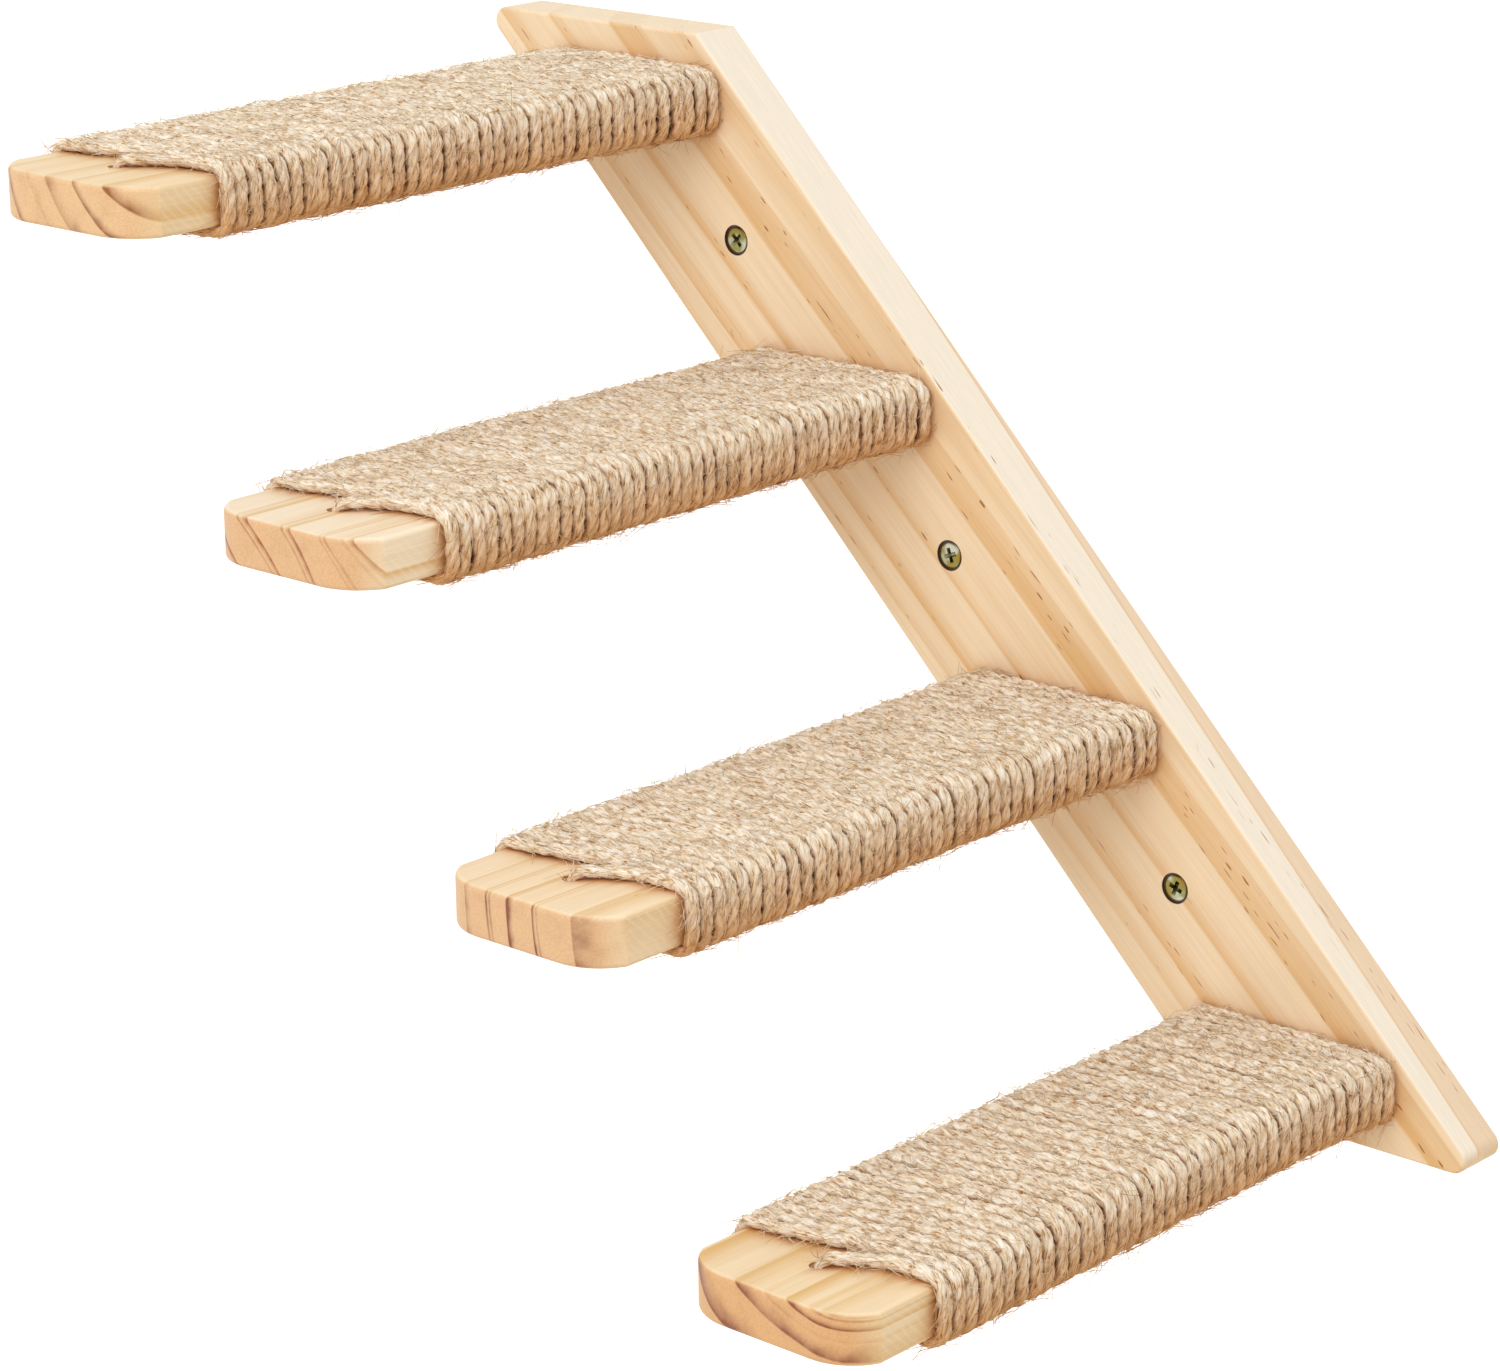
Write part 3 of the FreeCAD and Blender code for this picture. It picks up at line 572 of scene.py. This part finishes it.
def rope_route(plank, turns, luck):
    """Points of a rope round a plank in millimetres: X across, Y from the free end to the wall, Z up.

    It starts in a hole in the top, runs to the right edge, down, under the plank and up its left side.
    The turns slant over the top beside the free end and straighten towards the board.
    """
    width, reach, thick = plank
    wide, high = (width + ROPE_HIGH) / 2, (thick + ROPE_HIGH) / 2
    inner_wide = wide - CORNER_ACROSS
    last_inset = reach - BOARD_GAP - ROPE_WIDE / 2
    pitch = (last_inset - FIRST_TURN_INSET) / (turns - 1)
    right = [FIRST_TURN_INSET + number * pitch + luck.uniform(-UNEVEN, UNEVEN) for number in range(turns)]
    right[0], right[-1] = FIRST_TURN_INSET, last_inset
    left = [inset - FRONT_SLANT * (1 - number / (turns - 1)) for number, inset in enumerate(right)]
    shares = [step / (RUN_POINTS + 1) for step in range(1, RUN_POINTS + 1)]

    def corner(side, up, inset, bulge=0):
        """Two points that turn the rope round one edge, from the flat to the side."""
        return [Vector((side * inner_wide, inset, up * high)),
                Vector((side * (wide + bulge), inset, up * high))]

    def flank(side, inset, bulge=0):
        """The point half way down a side, where the rope stands off the wood."""
        return [Vector((side * (wide + bulge + SIDE_BULGE), inset, 0))]

    def run(start, end, bend, lift):
        """Points across a flat, which wander a little as hand winding does."""
        return [Vector((start.x + (end.x - start.x) * share,
                        start.y + (end.y - start.y) * share ** bend + luck.gauss(0, WANDER),
                        start.z + lift + luck.uniform(-WANDER, WANDER))) for share in shares]

    route = [Vector((HOLE_ACROSS, HOLE_INSET, thick / 2 - TAIL_DEPTH)),
             Vector((HOLE_ACROSS, HOLE_INSET, thick / 2 - HOLE_MOUTH)),
             Vector((HOLE_EXIT, HOLE_INSET, high))]
    for share in shares:
        sweep = math.sin(share * TAU / 4)
        route.append(Vector((share * inner_wide, HOLE_INSET + (right[0] - HOLE_INSET) * sweep, high)))
    for number in range(turns):
        bulge = LAST_BULGE * max(0, 1 - (turns - 1 - number) / BULGED_TURNS)
        lower = right[number] + luck.gauss(0, SIDE_LEAN)
        route += corner(1, 1, right[number], bulge) + flank(1, (right[number] + lower) / 2, bulge)
        route += corner(1, -1, lower, bulge)[::-1]
        if number == turns - 1:
            break
        inset = left[number + 1] + luck.uniform(-WANDER, WANDER)
        under = corner(-1, -1, inset)
        over = corner(-1, 1, inset)[::-1]
        route += run(route[-1], under[0], 1, 0) + under + flank(-1, inset) + over
        route += run(over[-1], corner(1, 1, right[number + 1])[0], TOP_BEND, luck.uniform(0, LIFT))
    finish = Vector((FINISH_ACROSS, reach - FINISH_INSET, -high))
    route += [finish, finish + Vector((0, 0, ROPE_HIGH)), finish + Vector((0, 0, TAIL_DEPTH))]
    return route


def evenly(points, spacing):
    """The same line with its points at an even spacing."""
    line, carried = [points[0]], 0
    for start, end in zip(points, points[1:]):
        length = (end - start).length
        place = spacing - carried
        while place <= length:
            line.append(start.lerp(end, place / length))
            place += spacing
        carried = length - (place - spacing)
    return line


def rope_frames(line):
    """The way, the side along the plank and the rise off the wood at each point of a rope's middle line."""
    frames = []
    for index in range(len(line)):
        way = (line[min(index + 1, len(line) - 1)] - line[max(index - 1, 0)]).normalized()
        side = (Vector((0, 1, 0)) - way * way.y).normalized()
        frames.append((way, side, way.cross(side)))
    return frames


def strand_paths(line, frames, luck):
    """Three strands laid right-handed round a rope's middle line, flattened against the wood."""
    side_reach = (ROPE_WIDE - STRAND_DIA) / 2 * MM
    rise_reach = (ROPE_HIGH - STRAND_DIA) / 2 * MM
    phases = [luck.uniform(0, TAU) for _ in range(STRANDS)]
    paths = [[] for _ in range(STRANDS)]
    for index, (point, (_, side, rise)) in enumerate(zip(line, frames)):
        from_end = min(index, len(line) - 1 - index) * RING_SPACING
        tight = min(1, TAIL_SQUEEZE + from_end / TAIL_EASE)
        for number, path in enumerate(paths):
            angle = TAU * (index * RING_SPACING / ROPE_LAY + number / STRANDS)
            quick, slow = (math.sin(index * wave + phases[number]) for wave in SWELL_WAVES)
            offset = side * side_reach * math.cos(angle) + rise * rise_reach * math.sin(angle)
            path.append((point + offset * tight, (1 + STRAND_SWELL * (quick * slow)) * tight))
    return paths


def fibre_paths(paths, line, frames, luck):
    """Fibres on the outside of a winding, and the shade of each: most cling along the strands, and some
    stand off and curl."""
    fibres, shades = [], []
    while len(fibres) < FIBRES:
        path = luck.choice(paths)
        index = luck.randrange(FIBRE_END_RINGS, len(path) - FIBRE_END_RINGS)
        way, side, rise = frames[index]
        out = (path[index][0] - line[index]).normalized()
        bare = -out.dot(side) if index * RING_SPACING < FRONT_RUN else 0
        if max(out.dot(rise), bare) < luck.uniform(0.0, MOST_OUTSIDE):
            continue
        clings = luck.random() < CLINGING
        angle = luck.gauss(CLING_ANGLE, CLING_SPREAD) if clings else luck.uniform(0, TAU)
        lean = luck.uniform(*CLING_RISE) if clings else luck.uniform(*STRAY_RISE)
        heading = (way * math.cos(angle) + side * math.sin(angle) + rise * lean) * luck.choice((-1, 1))
        if heading.dot(rise) < 0:
            heading -= 2 * rise * heading.dot(rise)
        curl = (way * luck.gauss(0, CURL_ALONG) + side * luck.gauss(0, CURL_ACROSS)
                - rise * luck.uniform(0, lean + CURL_DOWN))
        length = luck.uniform(*FIBRE_LENGTHS) * MM
        start = path[index][0] + out * STRAND_DIA * 0.5 * MM
        fibres.append([(start + (heading.normalized() * share + curl * share ** 2) * length,
                        1 - FIBRE_TAPER * share) for share in FIBRE_POINTS])
        shades.append(luck.random() if clings else luck.uniform(PALE_STRAY, 1))
    return fibres, shades


def wisp_profile():
    """The three-sided section of a fibre."""
    curve = bpy.data.curves.new("wisp", "CURVE")
    spline = curve.splines.new("POLY")
    spline.points.add(2)
    for point, angle in zip(spline.points, (0, TAU / 3, 2 * TAU / 3)):
        point.co = (math.cos(angle) * FIBRE_DIA / 2 * MM, math.sin(angle) * FIBRE_DIA / 2 * MM, 0, 1)
    spline.use_cyclic_u = True
    return bpy.data.objects.new("wisp", curve)


def mark_crowns_and_height_light(mesh, crowns, middle, reach):
    """Marks the crowns of a winding, and its painted light and shade by height: 1 on its top, 0 at its lower
    edge.
    """
    heights = [(vertex.co.z - middle) / reach for vertex in mesh.vertices]
    height_lightness = [min(1, max(0, (height - HEIGHT_LIGHT_FROM) / HEIGHT_LIGHT_SPAN)) for height in heights]
    mesh.attributes.new("crown", "FLOAT", "POINT").data.foreach_set("value", crowns)
    mesh.attributes.new("height_light", "FLOAT", "POINT").data.foreach_set("value", height_lightness)


# The crowns are the mask of the painted shade between the strands and turns of a rope
def find_crowns(mesh, line, frames):
    """How far out each point of a rope stands: 1 on the outside of the winding, 0 between its turns.

    The first turn also shows its flank to the free end of the step.
    """
    middle = KDTree(len(line))
    for index, point in enumerate(line):
        middle.insert(point, index)
    middle.balance()
    crowns = []
    for vertex in mesh.vertices:
        point, index, _ = middle.find(vertex.co)
        _, side, rise = frames[index]
        offset = (vertex.co - point) / MM
        bare = -offset.dot(side) / ROPE_WIDE if index * RING_SPACING < FRONT_RUN else 0
        crowns.append(max(offset.dot(rise) / (ROPE_HIGH / 2), bare))
    return crowns


def wind_rope(number, material, fibre_material, profile):
    """The rope of one step and the loose fibres on it."""
    luck = random.Random(SEED + number)
    low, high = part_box(f"step_plank_{number}")
    origin = Vector(((low.x + high.x) / 2, low.y, (low.z + high.z) / 2))
    plank = [size / MM for size in high - low]
    reach = (high.z - low.z) / 2 + ROPE_HIGH * MM
    route = [(origin + point * MM, 1) for point in rope_route(plank, ROPE_TURNS[number], luck)]
    spline = curve_mesh([route], "NURBS", resolution_u=6)
    line = evenly([vertex.co.copy() for vertex in spline.vertices], RING_SPACING * MM)
    bpy.data.meshes.remove(spline)
    frames = rope_frames(line)
    paths = strand_paths(line, frames, luck)
    strands = weld(curve_mesh(paths, "POLY", bevel_depth=STRAND_DIA / 2 * MM, bevel_resolution=1,
                              use_fill_caps=True))
    # All normals are copied first, because each moved point would make Blender work them out again
    outwards = [vertex.normal.copy() for vertex in strands.vertices]
    for vertex, outward in zip(strands.vertices, outwards):
        vertex.co += outward * noise.noise(vertex.co / (LUMP_LONG * MM)) * LUMP_HIGH * MM
    mark_crowns_and_height_light(strands, find_crowns(strands, line, frames), origin.z, reach)
    rope = new_piece(f"jute_winding_{number}", strands, material)
    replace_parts(rope, f"rope_wrap_{number}")
    fibres, shades = fibre_paths(paths, line, frames, luck)
    fluff = curve_mesh(fibres, "POLY", bevel_mode="OBJECT", bevel_object=profile, use_fill_caps=True)
    corners = len(fluff.vertices) // FIBRES
    mark_crowns_and_height_light(fluff, [shade for shade in shades for _ in range(corners)], origin.z, reach)
    weld(fluff)
    new_piece(f"jute_fibres_{number}", fluff, fibre_material)
    print(f"rope {number}: {len(line) * RING_SPACING * MM:.2f} m")


def lathe(shape, profile, closed=False, sweep=TAU, start=0, steps=SCREW_SIDES):
    """Turns a profile of radii and heights in millimetres about Z; less than a whole turn gets flat ends."""
    turn = Matrix.Rotation(start, 3, "Z")
    corners = [shape.verts.new(turn @ Vector((radius, 0, height)) * MM) for radius, height in profile]
    ahead = corners[1:] + corners[:1] if closed else corners[1:]
    edges = [shape.edges.new(pair) for pair in zip(corners, ahead)]
    whole = sweep == TAU
    bmesh.ops.spin(shape, geom=corners + edges, axis=(0, 0, 1), angle=sweep, steps=steps, use_merge=whole)
    if not whole:
        bmesh.ops.holes_fill(shape, edges=[edge for edge in shape.edges if edge.is_boundary])


def cut_recess(shape, size, land):
    """Closes the top of a screw head with a flat land round a tapered cross recess."""
    rim = bmesh.ops.create_circle(shape, segments=SCREW_SIDES, radius=land * MM)["verts"]
    reach, half, depth = RECESS_REACH * size, RECESS_HALF * size, RECESS_DEPTH * size
    outline = []
    for quarter in range(4):
        turn = Matrix.Rotation(quarter * TAU / 4, 3, "Z")
        outline += [turn @ Vector(place) for place in ((reach, -half, 0), (reach, half, 0), (half, half, 0))]
    corners = [shape.verts.new(place * MM) for place in outline]
    cross = [shape.edges.new(pair) for pair in zip(corners, corners[1:] + corners[:1])]
    around = [edge for edge in shape.edges if edge.verts[0] in rim and edge.verts[1] in rim]
    bmesh.ops.triangle_fill(shape, use_beauty=True, edges=around + cross)
    walls = bmesh.ops.extrude_edge_only(shape, edges=cross)["geom"]
    floor = [part for part in walls if isinstance(part, bmesh.types.BMVert)]
    bmesh.ops.translate(shape, verts=floor, vec=(0, 0, -depth * MM))
    bmesh.ops.scale(shape, verts=floor, vec=(RECESS_TAPER, RECESS_TAPER, 1))
    bmesh.ops.edgeloop_fill(shape, edges=[part for part in walls if isinstance(part, bmesh.types.BMEdge)
                                          and part.verts[0] in floor and part.verts[1] in floor])


def wood_screw(size):
    """A countersunk screw along Z with the top of its head at Z = 0.

    It has a rounded rim, a cross recess, a plain shank and a thread that narrows to the point.
    """
    shape = bmesh.new()
    head, shank, core = size["head"] / 2, size["shank"] / 2, size["core"] / 2
    foot = -size["rim"] - (head - shank)
    taper = size["point"] - size["length"]
    rim = [(head * share, drop) for share, drop in HEAD_ROUND]
    lathe(shape, rim + [(head, -size["rim"]), (shank, foot), (shank, -size["plain"]),
                        (core, -size["plain"] - THREAD_NECK), (core, taper), (0, -size["length"])])
    cut_recess(shape, size["head"], rim[0][0])
    close_up(shape)
    turns = int((size["length"] - size["plain"] - THREAD_SPARE) / size["pitch"])
    top = -size["plain"] - THREAD_START
    root = core - THREAD_ROOT
    ridge = [shape.verts.new(Vector((radius, 0, top + rise)) * MM)
             for radius, rise in ((root, THREAD_HALF), (shank, 0), (root, -THREAD_HALF))]
    edges = [shape.edges.new(pair) for pair in zip(ridge, ridge[1:] + ridge[:1])]
    before = set(shape.verts) - set(ridge)
    bmesh.ops.spin(shape, geom=ridge + edges, axis=(0, 0, 1), dvec=(0, 0, -size["pitch"] / THREAD_SIDES * MM),
                   angle=TAU * turns, steps=turns * THREAD_SIDES)
    for vertex in set(shape.verts) - before:
        left = (vertex.co.z / MM + size["length"]) / size["point"]
        share = min(1, max(THREAD_TIP, left))
        vertex.co.x *= share
        vertex.co.y *= share
    bmesh.ops.holes_fill(shape, edges=[edge for edge in shape.edges if edge.is_boundary])
    bmesh.ops.recalc_face_normals(shape, faces=shape.faces)
    return shape


def wall_plug():
    """A nylon wall plug along Z with its mouth at Z = 0: a plain collar, ribbed jaws and a tapered nose."""
    shape = bmesh.new()
    outer, bore = PLUG_DIA / 2, PLUG_BORE / 2
    middle = -PLUG_LENGTH / 2
    ribs = [(outer, 0), (outer, -PLUG_COLLAR)]
    height = -PLUG_COLLAR
    jaws = []
    while height - PLUG_RIB > PLUG_NOSE - PLUG_LENGTH:
        groove = [(outer - PLUG_RIB_DEEP, height - PLUG_GROOVE), (outer, height - PLUG_RIB)]
        if height - PLUG_RIB > middle:
            ribs += groove
        else:
            jaws += groove
        height -= PLUG_RIB
    throat = ribs[-1][1]
    lathe(shape, ribs + [(bore, throat), (bore, 0)], closed=True)
    root = throat + PLUG_JAW_OVERLAP
    nose = [(outer * PLUG_NOSE_SHARE, -PLUG_LENGTH), (bore, -PLUG_LENGTH)]
    jaw = [(outer, root)] + jaws + nose + [(bore, root)]
    slit = PLUG_SLIT / outer
    for number in range(PLUG_JAWS):
        lathe(shape, jaw, True, TAU / PLUG_JAWS - slit, number * TAU / PLUG_JAWS + slit / 2, PLUG_JAW_SIDES)
    close_up(shape)
    return shape


def place_copies(name, shape, places, material, node):
    """One piece of several copies of a shape, in place of a CAD node."""
    pattern = bpy.data.meshes.new("pattern")
    shape.to_mesh(pattern)
    shape.free()
    group = bmesh.new()
    for place in places:
        copy = pattern.copy()
        copy.transform(place)
        group.from_mesh(copy)
        bpy.data.meshes.remove(copy)
    mesh = bpy.data.meshes.new(name)
    group.to_mesh(mesh)
    group.free()
    bpy.data.meshes.remove(pattern)
    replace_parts(new_piece(name, mesh, material, CREASE), node)


def paint(node, material):
    """Gives a carried-over piece its finish."""
    mesh = NODES[node].data
    mesh.materials.clear()
    mesh.materials.append(material)


# The wall screws, from the top of the slope down, and the mouths of their plugs
low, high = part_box("wall_screws")
plug_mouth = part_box("wall_plugs")[0].y
head_reach = WALL_SCREW["head"] / 2 * MM
first = Vector((low.x + head_reach, low.y, high.z - head_reach))
last = Vector((high.x - head_reach, low.y, low.z + head_reach))
fixings = (first, Vector((0, low.y, 0)), last)

# How each piece was cut, in millimetres. A wood's own axes have X along the grain: down the slope of the
# board, and along a step. Its heart is the middle of the trunk. Each ring has its radius, the width over
# which it changes towards that radius, how dark it gets there, and how dark it starts. The board leans by
# half a right angle, whose sine is HALF_RIGHT, and its grain by GRAIN_SLOPE degrees.
HALF_RIGHT = math.sqrt(0.5)
GRAIN_SLOPE = 43.2
BOARD_CUT = {
    "turn": (0, math.radians(-GRAIN_SLOPE), 0), "grain": (HALF_RIGHT, 0, -HALF_RIGHT),
    "heart": (0, 30, 124), "wander": 1.0, "pale": (HALF_RIGHT, 0, HALF_RIGHT), "flank": (0.032, -130),
    "seats": fixings,
    "rings": [(105.5, 12, 0.05, 0.45), (119.4, 11.4, 0.75, 0.45), (141, 6.6, 0.7, 0), (160.8, 9, 0.75, 0),
              (171, 6, 0.5, 0)],
}
BOARD_TONES = {"early": "#f3dcba", "pale": "#f3e6d2", "late": "#e0b275", "end_early": "#efd6b0",
               "end_late": "#dcb481"}
paint("backboard", pine("pine_board", BOARD_CUT, BOARD_TONES, contact_shade=0.35, resin=1))

STEP_CUTS = {
    1: {"across": 70, "up": 55, "wander": 0.6,
        "tones": {"early": "#ecd2a8", "late": "#dfb574", "end_early": "#e6be90", "end_late": "#95582a"},
        "rings": [(64.2, 6, 0.8, 0), (77.3, 4, 0.85, 0), (90.5, 7, 0.6, 0), (99.9, 5, 0.25, 0),
                  (113, 4, 0.7, 0)]},
    2: {"across": -83, "up": -70, "wander": 0.5,
        "tones": {"early": "#f5e3c6", "late": "#dfb574", "end_early": "#e1b688", "end_late": "#9c5626"},
        "rings": [(85.5, 3, 0.9, 0), (99.8, 1.1, 0.75, 0), (102.8, 2.4, 0.85, 0), (115.9, 1.1, 0.8, 0),
                  (119, 2.5, 0.9, 0), (131.5, 1, 0.5, 0), (133.5, 1.5, 0.6, 0), (139.5, 1, 0.4, 0),
                  (142, 1.8, 0.8, 0)]},
    3: {"across": 140, "up": 9, "wander": 0.8,
        "tones": {"early": "#f3dcb8", "late": "#dfb574", "end_early": "#e1b88c", "end_late": "#874526"},
        "rings": [(98, 4, 0.3, 0), (112.4, 11, 0.62, 0), (129.4, 1.2, 0.6, 0), (131.3, 1.5, 0.95, 0),
                  (144.3, 3.4, 1.0, 0), (152.8, 0.9, 0.8, 0), (154.7, 1.4, 0.95, 0), (166.6, 4, 0.6, 0)]},
    4: {"across": 40, "up": 77.5, "wander": 0.9,
        "tones": {"early": "#f1d9b2", "late": "#dfb574", "end_early": "#ddad79", "end_late": "#8c4a2b"},
        "rings": [(69, 1, 0.5, 0), (70.4, 0.9, 0.75, 0), (74.2, 2.6, 0.95, 0), (78.8, 2, 0.3, 0),
                  (86, 7, 0.75, 0), (104, 10, 0.9, 0)]},
}
for number, step_cut in STEP_CUTS.items():
    low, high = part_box(f"step_plank_{number}")
    middle = (low + high) / 2 / MM
    step_cut.update({
        "turn": (0, 0, math.radians(-90)), "grain": (0, 1, 0),
        "heart": (0, -middle.x - step_cut["across"], middle.z + step_cut["up"]),
    })
    step_pine = pine(f"pine_step_{number}", step_cut, step_cut["tones"], contact_shade=0.75, planed=0.3)
    paint(f"step_plank_{number}", step_pine)

zinc = yellow_zinc()
into_wall = Matrix.Rotation(TAU / 4, 4, "X")
into_step = Matrix.Rotation(-TAU / 4, 4, "X")
place_copies("wall_screw_set", wood_screw(WALL_SCREW),
             [Matrix.Translation(spot) @ into_wall @ Matrix.Rotation(math.radians(turn), 4, "Z")
              for spot, turn in zip(fixings, SCREW_TURNS)], zinc, "wall_screws")
place_copies("wall_plug_set", wall_plug(),
             [Matrix.Translation((spot.x, plug_mouth, spot.z)) @ into_wall for spot in fixings],
             moulded_nylon(), "wall_plugs")
for number in STEPS:
    low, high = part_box(f"step_{number}_screws")
    middle = (low + high) / 2
    sides = (-STEP_SCREW_SPREAD / 2 * MM, STEP_SCREW_SPREAD / 2 * MM)
    place_copies(f"step_screw_pair_{number}", wood_screw(STEP_SCREW),
                 [Matrix.Translation((middle.x + side, high.y, middle.z)) @ into_step for side in sides],
                 zinc, f"step_{number}_screws")

rope_material = jute()
fibre_material = loose_jute()
wisp = wisp_profile()
for number in STEPS:
    wind_rope(number, rope_material, fibre_material, wisp)
bpy.data.curves.remove(wisp.data)


def background_rays(node):
    """1 for a ray that shows the background: to the camera, in a reflection or through something clear."""
    path = node("ShaderNodeLightPath")
    seen = node("ShaderNodeMath", {0: path.outputs["Is Camera Ray"], 1: path.outputs["Is Glossy Ray"]},
                operation="MAXIMUM")
    shown = node("ShaderNodeMath", {0: seen.outputs[0], 1: path.outputs["Is Transmission Ray"]},
                 operation="MAXIMUM")
    return shown.outputs[0]


def pale_floor():
    """A pale floor that the camera sees as white except where the staircase shades it."""
    shape = bmesh.new()
    bmesh.ops.create_grid(shape, x_segments=1, y_segments=1, size=FLOOR_SIZE)
    bmesh.ops.translate(shape, verts=shape.verts, vec=(0, 0, -FLOOR_DROP))
    mesh = bpy.data.meshes.new("floor")
    shape.to_mesh(mesh)
    shape.free()
    material, node = new_material("matt_white_floor")
    shown = background_rays(node)
    lift = node("ShaderNodeMath", {0: shown, 1: FLOOR_GLOW}, operation="MULTIPLY")
    tone = node("ShaderNodeMix", {"Factor": shown, COLOUR_A: linear("#d6c5aa"), COLOUR_B: linear("#f2f0ec")},
                data_type="RGBA")
    paper = node("ShaderNodeBsdfDiffuse", {"Color": tone.outputs[MIXED]})
    glow = node("ShaderNodeEmission", {"Color": linear("#ffffff"), "Strength": lift.outputs[0]})
    both = node("ShaderNodeAddShader", {0: paper.outputs[0], 1: glow.outputs[0]})
    node("ShaderNodeOutputMaterial", {"Surface": both.outputs[0]})
    mesh.materials.append(material)
    floor = bpy.data.objects.new("floor", mesh)
    bpy.context.scene.collection.objects.link(floor)


def studio_light():
    """A white room: soft light from all sides, a wide lamp high in front of the steps and a weak low one."""
    world = bpy.data.worlds.new("white_studio")
    bpy.context.scene.world = world
    world.use_nodes = True
    world.node_tree.nodes.clear()
    node = functools.partial(add, world.node_tree)
    shown = background_rays(node)
    way = node("ShaderNodeTexCoord")
    height = node("ShaderNodeSeparateXYZ", {0: way.outputs["Generated"]})
    sky_level = node("ShaderNodeMapRange", {
        "Value": height.outputs[2], "From Min": SKY_HEIGHTS[0], "From Max": SKY_HEIGHTS[1],
        "To Min": SKY_LEVELS[0], "To Max": SKY_LEVELS[1],
    })
    strength = node("ShaderNodeMix", {"Factor": shown, NUMBER_A: sky_level.outputs[0], NUMBER_B: 1.0})
    sky = node("ShaderNodeBackground", {"Color": linear("#ffffff"), "Strength": strength.outputs[0]})
    node("ShaderNodeOutputWorld", {"Surface": sky.outputs[0]})
    for name, watts, place in SOFTBOXES:
        lamp = bpy.data.lights.new(name, "AREA")
        lamp.shape = "RECTANGLE"
        lamp.size, lamp.size_y = SOFTBOX_SIZE
        lamp.energy = watts
        holder = bpy.data.objects.new(name, lamp)
        holder.location = place
        holder.rotation_euler = (-holder.location).to_track_quat("-Z", "Y").to_euler()
        bpy.context.scene.collection.objects.link(holder)


def photo_camera():
    """The camera of the photograph: a long lens, a little above the top step."""
    camera = bpy.data.cameras.new("photo_camera")
    camera.sensor_width = SENSOR_WIDTH
    camera.lens = FOCAL_PIXELS / PHOTO_WIDTH * SENSOR_WIDTH
    camera.clip_start, camera.clip_end = CAMERA_CLIP
    holder = bpy.data.objects.new("photo_camera", camera)
    azimuth = math.radians(CAMERA_AZIMUTH)
    elevation = math.radians(CAMERA_ELEVATION)
    roll = math.radians(CAMERA_ROLL)
    holder.matrix_world = (Matrix.Translation(CAMERA_PLACE) @ Matrix.Rotation(azimuth, 4, "Z")
                           @ Matrix.Rotation(TAU / 4 - elevation, 4, "X") @ Matrix.Rotation(roll, 4, "Z"))
    bpy.context.scene.collection.objects.link(holder)
    bpy.context.scene.camera = holder


pale_floor()
studio_light()
photo_camera()
bpy.context.scene.view_settings.view_transform = "Standard"
